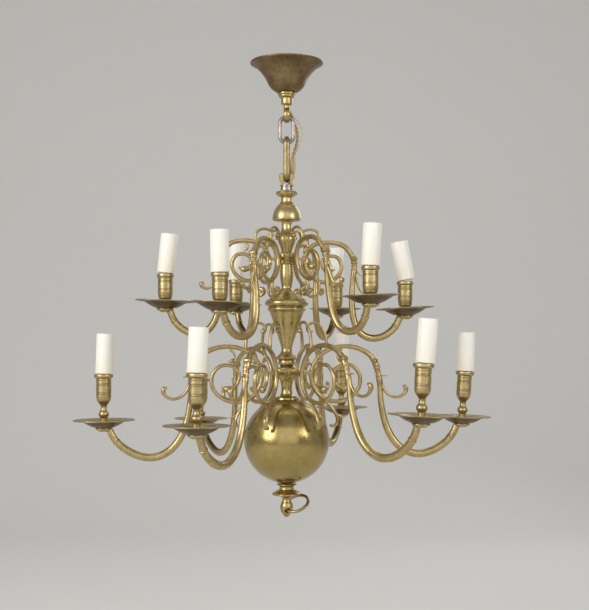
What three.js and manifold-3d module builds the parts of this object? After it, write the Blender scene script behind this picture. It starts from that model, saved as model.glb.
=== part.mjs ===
// Two-tier brass chandelier with twelve candle lights, hung by two links from a ceiling hook.
// Millimetres, +Z up. The origin is on the ceiling plane, on the axis of the stem.
import * as THREE from 'three';
import { mergeVertices } from 'three/addons/utils/BufferGeometryUtils.js';
import Module from 'manifold-3d';

const wasm = await Module();
wasm.setup();

// Clearance left between pieces that touch
const GAP = 0.3;
// Faces round a turned piece, a small turned piece and a scrolled bar
const STEM_FACES = 16;
const CANDLE_FACES = 8;
const PAN_FACES = 12;
const ARM_FACES = 6;
const TENDRIL_FACES = 4;

// Heights of the two arm rings, at their middles
const UPPER_RING_Z = -296;
const LOWER_RING_Z = -466;
// Tie rod that holds the turned stem together
const ROD_RADIUS = 3;
const BORE_RADIUS = ROD_RADIUS + 0.5;
const ROD_END_Z = -645;
// Big ball at the foot of the stem
const BALL_RADIUS = 63;
const BALL_Z = -564.9;
const BALL_WALL = 2;
const BALL_FOOT_HOLE = 8;

// Chain: the hook's eye, two links and the pin of the stem loop
// flat is how much wider a bar's section is across its plane than in it, and straight how much more
// it widens along the straight sides of a link, in millimetres.
const EYE = { z: -80.3, radius: 9, bar: 3, flat: 4.6 / 3 };
const UPPER_LINK = { top: -93.2, bottom: -111.7, radius: 10.1, bar: 2.9, flat: 1, straight: 0 };
const LOWER_LINK = { top: -125.2, bottom: -168.4, radius: 10, bar: 3.3, flat: 3.9 / 3.3, straight: 0.9 };
const PIN = { z: -172.5, radius: 2.2, length: 21 };

// Drip pans and candle fittings; heights are measured from the brim of the pan
const PAN_DEPTH = 11.5;
const PAN_WALL = 1.4;
const BOSS_RADIUS = 12;
const BOSS_HEIGHT = 4;
const STUD_RADIUS = 3.4;
const STUD_TOP = 1.5;
const SLEEVE = { radius: 12.9, inner: 11.2, length: 58 };
const LAMPHOLDER = { radius: 9.8, bore: 7, above: 46, depth: 24 };
const LOWER_LIP_RADIUS = 13.7;
const UPPER_LIP_RADIUS = 12.4;

// Tenon of an arm in the pocket of its ring, and the lug between it and the scroll
const TENON = { tip: 9.8, halfWidth: 2.2, halfHeight: 2.4 };
const LUG = { length: 5.5, halfWidth: 2.8, halfHeight: 4.4 };
const POCKET_PLAY = 0.4;
// An arm bends up over this share of its hinge's distance from the stem, to either side of the hinge
const HINGE_SHARE = 0.4;

// Power cable that hangs loose beside the chain
const CABLE_DIAMETER = 4.8;
const CABLE_FACES = 8;
const CABLE_STEPS = 18;
const CABLE_HOLE = { y: 16.6, radius: 3 };
const CABLE_ROUTE = [
  [0.5, 16.6, -43.5], [0.5, 16.6, -49], [0.7, 16.6, -55], [1.4, 16.6, -61.5], [2.8, 16.4, -68],
  [5, 15.6, -75], [8, 14, -82.5], [11.4, 12, -90], [14.4, 10.2, -98.5], [16, 9, -107.5], [15.9, 8.6, -116.5],
  [14, 8.8, -125.2], [11.2, 9.4, -133.5], [9, 10, -141.5], [8.2, 10.8, -150], [7.9, 12.6, -158.5],
  [7, 15.5, -166.5], [5.3, 18.2, -173.4], [3.8, 19.8, -180.4], [2.8, 19, -184.4], [1.9, 16.8, -187.8],
  [1.2, 13.4, -190], [0.8, 9.4, -190.8],
];

// Ring under the finial: it sits raised to the right, in a sloping hole
const PULL_RING = { radius: 17.5, bar: 2.2, holeRadius: 4.3, z: -663.5, offset: 1.37 };
const PULL_RING_AXIS = new THREE.Vector3(-0.17, 0.86, 0.48).normalize();
const PULL_RING_RISE = 21;

// Scrolled bars are lists of [distance from the axis, height above the ring, bar radius]
// A fourth value is the bar's half width across, where it is flattened into a leaf.
const LOWER_SCROLL = {
  main: [
    [259.2, -75.6, 5.4], [257.2, -81, 5.4], [252, -90, 5.5], [243.5, -99.5, 5.7], [232.5, -107.5, 5.9],
    [219.5, -114, 6], [205, -117.4, 6], [190, -116.3, 6], [176, -109.8, 5.9], [164, -98.8, 5.8],
    [154.5, -83.5, 5.5], [147.8, -64.5, 5], [142.8, -39, 4.5], [141, -16, 4],
    [140, -7, 4.8], [138, 3, 3.8], [135, 14, 5], [126.5, 27.5, 4.1], [110, 37.5, 3.8],
    [89, 41.5, 3.6], [68, 38, 3.5], [49, 26, 3.5], [38, 6, 3.4], [38.5, -14, 3.4],
    [51, -33, 3.3], [73, -41, 3.2], [95, -35.5, 3.1], [109, -20, 3], [110, -1, 3],
    [98, 12.5, 2.9], [81, 12.5, 2.8], [70.5, 2, 2.8], [73, -13, 2.7], [80.5, -19.5, 3.6],
    [86, -21.3, 5.2], [91, -20.5, 4.4], [93.5, -19.5, 2],
  ],
  outerHook: [
    [142, -6, 2.6], [145, -17.5, 2.4], [151.5, -27, 2.3], [160, -32.5, 2.2], [169.5, -33.5, 2.2],
    [177.5, -29.5, 2.4], [181.5, -22.5, 3.2], [180.3, -18.3, 3.3], [177.5, -17, 2],
  ],
  thorn: [[138.5, 2, 2.4], [144, -1, 1.6], [152.5, -2, 0.5]],
  underArch: [[83, 37, 2], [77.5, 31, 1.8], [77, 24, 1.9], [81, 19.5, 2.8], [84.5, 19.5, 1.6]],
  upperCurl: [
    [59.5, 32, 2.4], [59, 48, 2.3], [55, 63, 2.2], [47, 73.5, 2.1], [37.5, 75, 2.1],
    [30.5, 69.5, 2.4], [33, 63, 3.7], [36.5, 62.5, 2],
  ],
  lowerCurl: [
    [57, -36, 2.6, 2.6], [62.5, -44, 2.5, 3], [69.5, -52, 2.4, 3.6], [75, -60.5, 2.3, 4.1],
    [77.3, -68.5, 2.2, 4.2], [75.3, -75, 2.2, 4], [70.3, -77.6, 2.3, 3.4], [66.5, -76, 1.4, 1.8],
  ],
  lowerSpur: [[76, -60, 2], [82.5, -63, 1.3], [88, -65, 0.5]],
};
const UPPER_SCROLL = {
  main: [
    [173, -79.6, 5.3], [171, -85, 5.3], [166.5, -94, 5.4], [159.5, -102, 5.5], [150, -108.7, 5.6],
    [138.5, -112.6, 5.6], [126.5, -112.2, 5.6], [115.5, -107, 5.5], [107.3, -96.5, 5.3],
    [102.3, -82.5, 5.1], [99.8, -65, 4.8], [99, -45, 4.4], [99.3, -30, 3.9], [100.6, -17, 4.6],
    [101, -7, 3.8], [99.6, 3, 4.9], [93.8, 13, 4], [86, 21, 3.8], [77, 25.2, 3.7], [66, 26.8, 3.6],
    [54, 26, 3.5], [39, 21.5, 3.4], [28.5, 7, 3.4], [29, -13, 3.2], [42, -28.5, 3.1], [60.5, -33, 3.1],
    [76, -24, 3], [82, -9, 3], [76, 4, 2.9], [64, 6.5, 2.8], [54, 0, 2.7],
    [54.5, -11, 2.8], [59.5, -15.3, 4.2], [65, -15.8, 4.6], [68.8, -14.6, 2],
  ],
  outerHook: [
    [100.5, -15, 2.4], [104, -23, 2.2], [106.8, -32, 2.1], [110.3, -40, 2], [114.3, -44.6, 2],
    [119.5, -46, 2.1], [125, -43.6, 2.6], [127.2, -39.5, 3.2], [124.6, -37.2, 2],
  ],
  thorn: [[100.5, -5, 2.4], [104.5, -12, 1.7], [108.5, -18, 1.1], [112.5, -21.5, 0.5]],
  underArch: [[64, 27, 2], [59.5, 20.5, 1.9], [60.5, 14.5, 2.5], [63.5, 13, 1.4]],
  upperCurl: [
    [47.5, 24, 2.2], [47, 37, 2.1], [41.5, 43.2, 2], [32.5, 44.8, 2], [24, 41.5, 2],
    [22, 37, 2.4], [26.5, 33.5, 3.3], [29.5, 34.5, 1.8],
  ],
  lowerCurl: [
    [45, -28, 2.3], [50, -37.5, 2.2], [49.8, -47, 2.1], [45, -53.8, 2.1], [38.5, -55, 2.3],
    [34.3, -51, 3.6], [35.3, -46.5, 4.7], [38.5, -44.6, 3],
  ],
};

// Outlines of the two kinds of candle socket, as [radius, height above the pan's brim]
const LOWER_SOCKET = [
  [8.8, -9.6], [8.8, -6.5], [5.2, -3.5], [5.2, 2], [7.4, 8], [4.3, 16.5],
  [5.2, 20.5], [9.6, 27], [11, 34], [11, 60], [LOWER_LIP_RADIUS, 61], [LOWER_LIP_RADIUS, 66],
];
const UPPER_SOCKET = [
  [8.8, -9.6], [8.8, -6.5], [6.2, -2.5], [8.4, 1.5], [10.2, 7], [11, 13], [11, 33.5],
  [UPPER_LIP_RADIUS, 34.5], [UPPER_LIP_RADIUS, 39.2],
];

// Places round the stem. The castings of a tier are alike and sit in evenly spaced pockets, the first
// one at the azimuth slot, counted in degrees from the left towards the front, but they are old and
// bent. Each row holds the place's name, the azimuth of its candle, rise and pull (how far the arm's
// end has bent up and outwards), hinge (how far from the stem it has bent up), roll (how far the arm
// has turned about its tenon), the radius of the pan, sag (how far the pan's rim dips to the right),
// stand (how far the socket tips to the right), lean (how far the candle does) and shift (how far the
// candle stands to the right on its lip). Turns are in degrees and lengths in millimetres. swing is
// where along its reach an arm has bent sideways to its candle's azimuth.
function placed(rows) {
  return rows.map(([name, azimuth, rise, pull, hinge, roll, pan, sag, stand, lean, shift]) => (
    { name, azimuth, rise, pull, hinge, roll, pan, sag, stand, lean, shift }
  ));
}
const LOWER_TIER = {
  name: 'lower',
  ringZ: LOWER_RING_Z,
  slot: 6.9,
  swing: [90, 250],
  reach: 267.5,
  brim: -60.5,
  scroll: LOWER_SCROLL,
  socket: LOWER_SOCKET,
  places: placed([
    ['left', 6.6, -6, 1.5, 20, 0, 45, -0.6, -0.5, 1.7, 0.7],
    ['left_front', 65, 0, 0, 20, 0, 43.5, 0, 0.3, 2.6, -0.3],
    ['right_front', 130.7, 11.6, 0, 90, 0, 44, 2.5, 2.5, 4.6, 2],
    ['right', 186.8, -3.7, -1, 20, 0, 44.5, 2.2, 4, 1.8, 1],
    ['right_back', 250, -1.4, 0, 20, 0, 44.5, 0, 0, 0, 0],
    ['left_back', 303.5, -18.7, 0, 20, 0, 44.5, 0, 0, 0, 0],
  ]),
};
const UPPER_TIER = {
  name: 'upper',
  ringZ: UPPER_RING_Z,
  slot: 3.1,
  swing: [85, 150],
  reach: 180.5,
  brim: -65,
  scroll: UPPER_SCROLL,
  socket: UPPER_SOCKET,
  places: placed([
    ['left', 2.4, 3, -1.8, 20, 0, 44.5, 2.4, 0, 5.9, 0.3],
    ['left_front', 60, -4.8, 0, 20, 2.5, 40, 2, 0, -1.1, 0],
    ['right_front', 129.2, 4.6, 0, 20, 6, 38.5, -2, 0, 2.8, 0],
    ['right', 185.8, -6.8, 1.1, 20, 0, 44, -3.1, 0, -10.8, 1.8],
    ['right_back', 243.9, -2.8, 0, 20, 0, 42, 0, 0, 0, 0],
    ['left_back', 297.3, 3.4, 0, 20, 0, 42, 0, 0, 0, 0],
  ]),
};

const BRASS = new THREE.MeshStandardMaterial({ color: 0x8f7a45, roughness: 0.34, metalness: 1 });
const DARK_BRASS = new THREE.MeshStandardMaterial({ color: 0x5d4a33, roughness: 0.42, metalness: 1 });
const STEEL = new THREE.MeshStandardMaterial({ color: 0x8d8484, roughness: 0.38, metalness: 1 });
const IVORY = new THREE.MeshStandardMaterial({ color: 0xe9e4d6, roughness: 0.5, metalness: 0 });
const FLEX = new THREE.MeshStandardMaterial({ color: 0x9a7d45, roughness: 0.6, metalness: 0 });

const chandelier = new THREE.Group();

// Merge shared corners and drop the flat triangles that a lathe leaves on its axis
function clean(geometry) {
  const bare = geometry.clone();
  bare.deleteAttribute('normal');
  bare.deleteAttribute('uv');
  const merged = mergeVertices(bare, 1e-4);
  const index = merged.index.array;
  const kept = [];
  for (let i = 0; i < index.length; i += 3) {
    const [a, b, c] = [index[i], index[i + 1], index[i + 2]];
    if (a !== b && b !== c && c !== a) kept.push(a, b, c);
  }
  merged.setIndex(kept);
  return merged;
}

function toSolid(geometry) {
  const merged = clean(geometry);
  return new wasm.Manifold(new wasm.Mesh({
    numProp: 3,
    vertProperties: merged.attributes.position.array,
    triVerts: Uint32Array.from(merged.index.array),
  }));
}

function fromSolid(solid) {
  const mesh = solid.getMesh();
  const geometry = new THREE.BufferGeometry();
  geometry.setAttribute('position', new THREE.BufferAttribute(Float32Array.from(mesh.vertProperties), 3));
  geometry.setIndex(Array.from(mesh.triVerts));
  geometry.computeVertexNormals();
  return geometry;
}

function joined(geometries) {
  return geometries.map(toSolid).reduce((whole, piece) => whole.add(piece));
}

function addPiece(name, geometry, material, parent = chandelier) {
  const mesh = new THREE.Mesh(geometry, material);
  mesh.name = name;
  parent.add(mesh);
  return mesh;
}

// A turned solid from an outline of [radius, height] points, with its axis upright
function turned(outline, faces, closed = false) {
  const points = outline.map(([radius, z]) => new THREE.Vector2(radius, z));
  if (closed) points.push(points[0].clone());
  const lathe = new THREE.LatheGeometry(points, faces);
  lathe.rotateX(Math.PI / 2);
  return outwards(clean(lathe));
}

// Turn the faces round when a geometry is inside out
function outwards(geometry) {
  const position = geometry.attributes.position;
  const index = Array.from(geometry.index.array);
  const [a, b, c] = [new THREE.Vector3(), new THREE.Vector3(), new THREE.Vector3()];
  let volume = 0;
  for (let i = 0; i < index.length; i += 3) {
    a.fromBufferAttribute(position, index[i]);
    b.fromBufferAttribute(position, index[i + 1]);
    c.fromBufferAttribute(position, index[i + 2]);
    volume += a.dot(b.cross(c));
  }
  if (volume < 0) {
    for (let i = 0; i < index.length; i += 3) [index[i], index[i + 1]] = [index[i + 1], index[i]];
    geometry.setIndex(index);
  }
  return geometry;
}

// A bar that tapers along a bent centre line in the local XZ plane. Its section is an ellipse,
// flat times as wide across the plane as in it, or as wide as the station's fourth value says.
function bar(stations, faces, { flat = 1, closed = false } = {}) {
  const count = stations.length;
  const vertices = [];
  const index = [];
  for (let i = 0; i < count; i += 1) {
    const before = stations[closed ? (i + count - 1) % count : Math.max(i - 1, 0)];
    const after = stations[closed ? (i + 1) % count : Math.min(i + 1, count - 1)];
    const tangent = new THREE.Vector2(after[0] - before[0], after[1] - before[1]).normalize();
    const [x, z, radius, across = flat * radius] = stations[i];
    for (let k = 0; k < faces; k += 1) {
      const turn = (2 * Math.PI * (k + 0.5)) / faces;
      const inPlane = radius * Math.cos(turn);
      vertices.push(x - tangent.y * inPlane, across * Math.sin(turn), z + tangent.x * inPlane);
    }
  }
  const lastRing = closed ? count : count - 1;
  for (let i = 0; i < lastRing; i += 1) {
    const next = (i + 1) % count;
    for (let k = 0; k < faces; k += 1) {
      const side = (k + 1) % faces;
      const [p, q] = [i * faces + k, i * faces + side];
      const [r, s] = [next * faces + k, next * faces + side];
      index.push(p, q, s, p, s, r);
    }
  }
  if (!closed) {
    const end = (count - 1) * faces;
    for (let k = 1; k < faces - 1; k += 1) {
      index.push(0, k + 1, k);
      index.push(end, end + k, end + k + 1);
    }
  }
  const geometry = new THREE.BufferGeometry();
  geometry.setAttribute('position', new THREE.Float32BufferAttribute(vertices, 3));
  geometry.setIndex(index);
  return outwards(geometry);
}

// A closed chain link in the local XZ plane: two half circles and the straights between
function link({ top, bottom, radius, bar: thickness, flat, straight }) {
  const arcSteps = 7;
  const stations = [];
  for (const [middle, start] of [[top, 0], [bottom, Math.PI]]) {
    for (let i = 0; i <= arcSteps; i += 1) {
      const turn = start + (Math.PI * i) / arcSteps;
      const across = flat * thickness + straight * Math.cos(turn) ** 4;
      stations.push([radius * Math.cos(turn), middle + radius * Math.sin(turn), thickness, across]);
    }
  }
  return bar(stations, 6, { closed: true });
}

function ring(radius, z, thickness, steps, faces, flat = 1) {
  const stations = [];
  for (let i = 0; i < steps; i += 1) {
    const turn = (2 * Math.PI * i) / steps;
    stations.push([radius * Math.cos(turn), z + radius * Math.sin(turn), thickness]);
  }
  return bar(stations, faces, { flat, closed: true });
}

function boxAt(sizeX, sizeY, sizeZ, x, y, z) {
  return new THREE.BoxGeometry(sizeX, sizeY, sizeZ).translate(x, y, z);
}

// Points of a round stretch in an outline, from one polar angle to another, in degrees
function arc(centreZ, radius, fromAngle, toAngle, steps) {
  const points = [];
  for (let i = 0; i <= steps; i += 1) {
    const angle = THREE.MathUtils.degToRad(fromAngle + ((toAngle - fromAngle) * i) / steps);
    points.push([radius * Math.sin(angle), centreZ + radius * Math.cos(angle)]);
  }
  return points;
}

// Ceiling cup: a thin bell with a hole for the hook's shank and one for the cable
function ceilingCup() {
  const outside = [
    [53, -GAP], [54.8, -1.4], [54.3, -3.2], [47.5, -7], [39.4, -14.6], [33, -23.5],
    [27.6, -34], [23.5, -39.6], [19, -43.5], [14.2, -46.4],
  ];
  const inside = [
    [5.4, -46.4], [5.4, -44.8], [13.4, -44.8], [17.6, -42.2], [21.8, -38.4], [25.6, -33.2],
    [31, -23.5], [37.9, -13.4], [46.4, -5.6],
  ];
  const shell = toSolid(turned([...outside, ...inside], 20, true));
  const holeLength = 14;
  const hole = new THREE.CylinderGeometry(CABLE_HOLE.radius, CABLE_HOLE.radius, holeLength, CABLE_FACES);
  hole.rotateX(Math.PI / 2).translate(0, CABLE_HOLE.y, -43);
  return fromSolid(shell.subtract(toSolid(hole)));
}

// Ceiling hook: strap bar, shank, stepped collar and forged eye, in one forging
function ceilingHook() {
  const strap = boxAt(92, 16, 3, 0, 0, -1.5);
  const shank = turned([
    [0, -1], [4.6, -1], [4.6, -46.8], [13.4, -46.8], [13.4, -50.2], [12, -51.2], [11.4, -53.8],
    [8.5, -54.6], [8.5, -63.2], [7.6, -64.6], [4.4, -65.2], [4.7, -72.5], [0, -72.5],
  ], 16);
  const eye = ring(EYE.radius, EYE.z, EYE.bar, 18, 6, EYE.flat).rotateZ(Math.PI / 2);
  return fromSolid(joined([strap, shank, eye]));
}

// Stem loop: two prongs with a riveted cross pin, a steel collar and the tie rod below it
function stemLoop() {
  const prongOutline = [[4.4, -187], [9.4, -187], [11.5, -172], [10.6, -169.2], [6.6, -168.6], [4.4, -170.6]];
  const prongWidth = 12;
  const prongs = [1, -1].map((side) => {
    const shape = new THREE.Shape(prongOutline.map(([x, z]) => new THREE.Vector2(side * x, z)));
    const prong = new THREE.ExtrudeGeometry(shape, { depth: prongWidth, bevelEnabled: false });
    return outwards(clean(prong.rotateX(Math.PI / 2).translate(0, prongWidth / 2, 0)));
  });
  const pin = new THREE.CylinderGeometry(PIN.radius, PIN.radius, PIN.length, 12);
  pin.rotateZ(Math.PI / 2).translate(0, 0, PIN.z);
  const collar = turned([
    [0, -185], [8.4, -185], [9, -186], [9, -195], [ROD_RADIUS, -195], [ROD_RADIUS, ROD_END_Z], [0, ROD_END_Z],
  ], 16);
  return fromSolid(joined([...prongs, pin, collar]));
}

// Turned pieces strung on the tie rod; each outline closes along its bore
function onRod(outline, top, bottom) {
  return turned([[BORE_RADIUS, top], ...outline, [BORE_RADIUS, bottom]], STEM_FACES, true);
}

function crownBell() {
  return onRod([
    [15.8, -195.4], [16.6, -197.4], [12.6, -202], [8.3, -203.4], [8.1, -212], [11.4, -214],
    [17.4, -221.2], [20.4, -229], [21.3, -237.4], [20.4, -238.6], [9, -240.4], [7.5, -243.5],
    [7.6, -250.8],
  ], -195.4, -250.8);
}

// Azimuth of a pocket, in degrees
function slotAzimuth(tier, index) {
  return tier.slot + (360 * index) / tier.places.length;
}

function pocketCutter(azimuth, ringZ) {
  const length = 20;
  const { tip, halfWidth, halfHeight } = TENON;
  const cutter = boxAt(
    length, 2 * (halfWidth + POCKET_PLAY), 2 * (halfHeight + POCKET_PLAY),
    tip - 0.5 + length / 2, 0, ringZ,
  );
  return toSolid(cutter.rotateZ(THREE.MathUtils.degToRad(180 + azimuth)));
}

// Cut one pocket in an arm ring for each arm's tenon
function withPockets(geometry, tier) {
  let solid = toSolid(geometry);
  tier.places.forEach((place, index) => {
    solid = solid.subtract(pocketCutter(slotAzimuth(tier, index), tier.ringZ));
  });
  return fromSolid(solid);
}

function upperBaluster() {
  return withPockets(onRod([
    [7.7, -251.1], [8.6, -254.5], [12.2, -261.5], [13.2, -266.5], [12, -271.5], [9, -279.5],
    [7.4, -286], [9.6, -287.6], [13, -288.4], [14.1, -290], [14.1, -302.2], [13, -304],
  ], -251.1, -304), UPPER_TIER);
}

function centreBaluster() {
  return withPockets(onRod([
    [8.9, -304.3], [9.7, -322.8], [7.7, -337.2], [9.2, -342], [14.5, -347.4], [23, -353],
    [28.6, -357.2], [32.2, -362], [30.6, -366], [26.6, -367.6], [27, -372.4], [25, -374.6],
    [21.6, -385], [14.6, -406.4], [8.9, -423.6], [7.8, -430.6], [10.4, -437], [16.1, -442.4],
    [12.2, -446.2], [12.2, -452.6], [9.6, -455.2], [9.6, -457], [13.6, -457.8], [13.6, -473.8],
    [10.9, -474.8], [9.8, -477.4],
  ], -304.3, -477.4), LOWER_TIER);
}

function ballGlobe() {
  const shoulderAngle = 16.8;
  const footAngle = 180 - THREE.MathUtils.radToDeg(Math.asin(BALL_FOOT_HOLE / BALL_RADIUS));
  const innerRadius = BALL_RADIUS - BALL_WALL;
  const innerFoot = 180 - THREE.MathUtils.radToDeg(Math.asin(BALL_FOOT_HOLE / innerRadius));
  const innerTop = THREE.MathUtils.radToDeg(Math.asin(BORE_RADIUS / innerRadius));
  const outline = [
    [BORE_RADIUS, -477.7], [9.6, -477.7], [7.9, -488], [9.4, -497], [13.6, -500.4], [18.4, -501.6],
    ...arc(BALL_Z, BALL_RADIUS, shoulderAngle, footAngle, 10),
    ...arc(BALL_Z, innerRadius, innerFoot, innerTop, 5),
  ];
  return turned(outline, 20, true);
}

// Finial with a blind bore for the rod and a sloping hole for the pull ring
function bottomFinial() {
  const boreEnd = ROD_END_Z - 0.6;
  const body = turned([
    [0, boreEnd], [BORE_RADIUS, boreEnd], [BORE_RADIUS, -628.4], [13.6, -628.4], [14.8, -629.6],
    [10.6, -632.4], [11.4, -636], [21.4, -642.6], [21.4, -644.6], [9, -647.6], [6.3, -650.6],
    [9.2, -660.5], [9.4, -664.5], [7.6, -671], [0, -677.6],
  ], 14);
  const holeLength = 40;
  const hole = new THREE.CylinderGeometry(PULL_RING.holeRadius, PULL_RING.holeRadius, holeLength, 12);
  hole.applyQuaternion(new THREE.Quaternion().setFromUnitVectors(new THREE.Vector3(0, 1, 0), PULL_RING_AXIS));
  hole.translate(0, 0, PULL_RING.z);
  return fromSolid(toSolid(body).subtract(toSolid(hole)));
}

// Pull ring: built in the XZ plane, then laid with its wire along the hole and its middle out to the right
function pullRing() {
  const rise = THREE.MathUtils.degToRad(PULL_RING_RISE);
  const outward = new THREE.Vector3(Math.cos(rise), 0, Math.sin(rise));
  outward.addScaledVector(PULL_RING_AXIS, -outward.dot(PULL_RING_AXIS)).normalize();
  const across = new THREE.Vector3().crossVectors(PULL_RING_AXIS, outward);
  const placed = new THREE.Matrix4().makeBasis(outward, across.clone().negate(), PULL_RING_AXIS);
  const centre = outward.clone().multiplyScalar(PULL_RING.radius - PULL_RING.offset);
  placed.setPosition(centre.x, centre.y, PULL_RING.z + centre.z);
  return outwards(clean(ring(PULL_RING.radius, 0, PULL_RING.bar, 18, 5).applyMatrix4(placed)));
}

function powerCable() {
  const route = new THREE.CatmullRomCurve3(CABLE_ROUTE.map((point) => new THREE.Vector3(...point)));
  const section = new THREE.Shape();
  for (let k = 0; k < CABLE_FACES; k += 1) {
    const turn = (2 * Math.PI * k) / CABLE_FACES;
    const [x, y] = [0.5 * CABLE_DIAMETER * Math.cos(turn), 0.5 * CABLE_DIAMETER * Math.sin(turn)];
    if (k === 0) section.moveTo(x, y);
    else section.lineTo(x, y);
  }
  section.closePath();
  return clean(new THREE.ExtrudeGeometry(section, { steps: CABLE_STEPS, extrudePath: route }));
}

// A turn about the axis that points to the back, which tips a piece to the right
function tipped(degrees) {
  const turn = THREE.MathUtils.degToRad(degrees);
  return new THREE.Quaternion().setFromAxisAngle(new THREE.Vector3(0, 1, 0), turn);
}

// One arm from its ring outwards along X, with Z from the middle of the ring. The arm rolls about its
// tenon, which stays upright. Returned with it are the middle of its pan's brim and the turn of its end.
function armBars(tier, { rise, pull, hinge, roll }) {
  const length = tier.reach - hinge;
  const wholeBend = Math.asin(rise / length);
  const stretch = 1 + pull / length;
  const hingeWidth = HINGE_SHARE * hinge;
  const bent = (stations) => stations.map(([x, z, ...sizes]) => {
    const out = (x - hinge) * stretch;
    const bend = wholeBend * THREE.MathUtils.smoothstep(x, hinge - hingeWidth, hinge + hingeWidth);
    return [
      hinge + out * Math.cos(bend) - z * Math.sin(bend),
      z * Math.cos(bend) + out * Math.sin(bend),
      ...sizes,
    ];
  });
  const { main, ...tendrils } = tier.scroll;
  const stemSide = Math.min(...main.map(([x]) => x));
  const turn = THREE.MathUtils.degToRad(roll);
  const pieces = [
    bar(bent(main), ARM_FACES),
    ...Object.values(tendrils).map((stations) => bar(bent(stations), TENDRIL_FACES)),
    boxAt(LUG.length, 2 * LUG.halfWidth, 2 * LUG.halfHeight, stemSide - LUG.length / 2, 0, 0),
  ].map((piece) => piece.rotateX(turn));
  const tenonLength = stemSide + 1 - TENON.tip;
  const tenonMiddle = TENON.tip + tenonLength / 2;
  pieces.push(boxAt(tenonLength, 2 * TENON.halfWidth, 2 * TENON.halfHeight, tenonMiddle, 0, 0));

  const [x, brim] = bent([[tier.reach, tier.brim]])[0];
  const toBoss = PAN_DEPTH + GAP + BOSS_HEIGHT / 2;
  const boss = new THREE.Vector3(x, 0, brim - toBoss).applyAxisAngle(new THREE.Vector3(1, 0, 0), turn);
  const end = new THREE.Vector3(boss.x, boss.y, boss.z + toBoss);
  return { pieces, end, endTurn: Math.atan2(end.y, end.x) };
}

// Bend an arm sideways: it stays straight near its ring and turns by the whole angle at its end
function swung(geometry, [from, to], angle) {
  const points = geometry.attributes.position;
  for (let i = 0; i < points.count; i += 1) {
    const [x, y] = [points.getX(i), points.getY(i)];
    const turn = angle * THREE.MathUtils.smoothstep(Math.hypot(x, y), from, to);
    points.setXY(i, x * Math.cos(turn) - y * Math.sin(turn), x * Math.sin(turn) + y * Math.cos(turn));
  }
  geometry.computeVertexNormals();
  return geometry;
}

// Boss at the arm's end, level whatever the arm's droop, and the stud that tips with its socket. The
// arm is turned by this angle when it is put in its place.
function armEnd(end, turn, { stand }) {
  const top = -PAN_DEPTH - GAP;
  const boss = turned([
    [0, top - BOSS_HEIGHT - 1.5], [7.5, top - BOSS_HEIGHT], [BOSS_RADIUS, top - BOSS_HEIGHT / 2],
    [BOSS_RADIUS, top], [0, top],
  ], CANDLE_FACES);
  const studLength = STUD_TOP - top;
  const stud = turned([[0, -1], [STUD_RADIUS, -1], [STUD_RADIUS, studLength], [0, studLength]], CANDLE_FACES);
  stud.applyQuaternion(tipped(stand)).translate(0, 0, top).rotateZ(-turn);
  return [boss, stud].map((piece) => piece.translate(end.x, end.y, end.z));
}

// Drip pan with a level floor; its thin sides are bent so that the rim dips by the angle sag
function dripPan({ pan: radius, sag }) {
  const hole = STUD_RADIUS + 0.5;
  const floor = -PAN_DEPTH;
  const floorRadius = 14;
  const pan = turned([
    [hole, floor], [floorRadius, floor], [23, floor + 3.6], [30.5, floor + 8.4], [radius, -1.4],
    [radius, 0], [30, floor + 9.8], [22, floor + 5.2], [floorRadius - 0.6, floor + PAN_WALL],
    [hole, floor + PAN_WALL],
  ], PAN_FACES, true);
  const slope = Math.tan(THREE.MathUtils.degToRad(sag));
  const points = pan.attributes.position;
  for (let i = 0; i < points.count; i += 1) {
    const [x, y, z] = [points.getX(i), points.getY(i), points.getZ(i)];
    if (Math.hypot(x, y) > floorRadius + 1) points.setZ(i, z - slope * x);
  }
  return pan;
}

// Candle socket with its lampholder tube, which leans with the sleeve that it carries
function candleSocket(outline, lean, shift) {
  const lip = outline[outline.length - 1][1];
  const bore = STUD_RADIUS + 0.5;
  const boreTop = STUD_TOP + 0.8;
  const base = outline[0][1];
  const body = turned([[0, boreTop], [bore, boreTop], [bore, base], ...outline, [0, lip]], CANDLE_FACES);
  const { radius, bore: mouth, above, depth } = LAMPHOLDER;
  const tube = turned([
    [0, -3], [radius, -3], [radius, above], [mouth, above], [mouth, above - depth], [0, above - depth],
  ], CANDLE_FACES);
  tube.applyQuaternion(lean).translate(shift, 0, lip);
  return fromSolid(joined([body, tube]));
}

function candleSleeve(outline, lean, shift) {
  const lip = outline[outline.length - 1][1];
  const { radius, inner, length } = SLEEVE;
  const tube = turned([[inner, 0], [radius, 0], [radius, length], [inner, length]], 10, true);
  tube.applyQuaternion(lean);
  tube.computeBoundingBox();
  return tube.translate(shift, 0, lip + GAP + 0.1 - tube.boundingBox.min.z);
}

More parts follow.
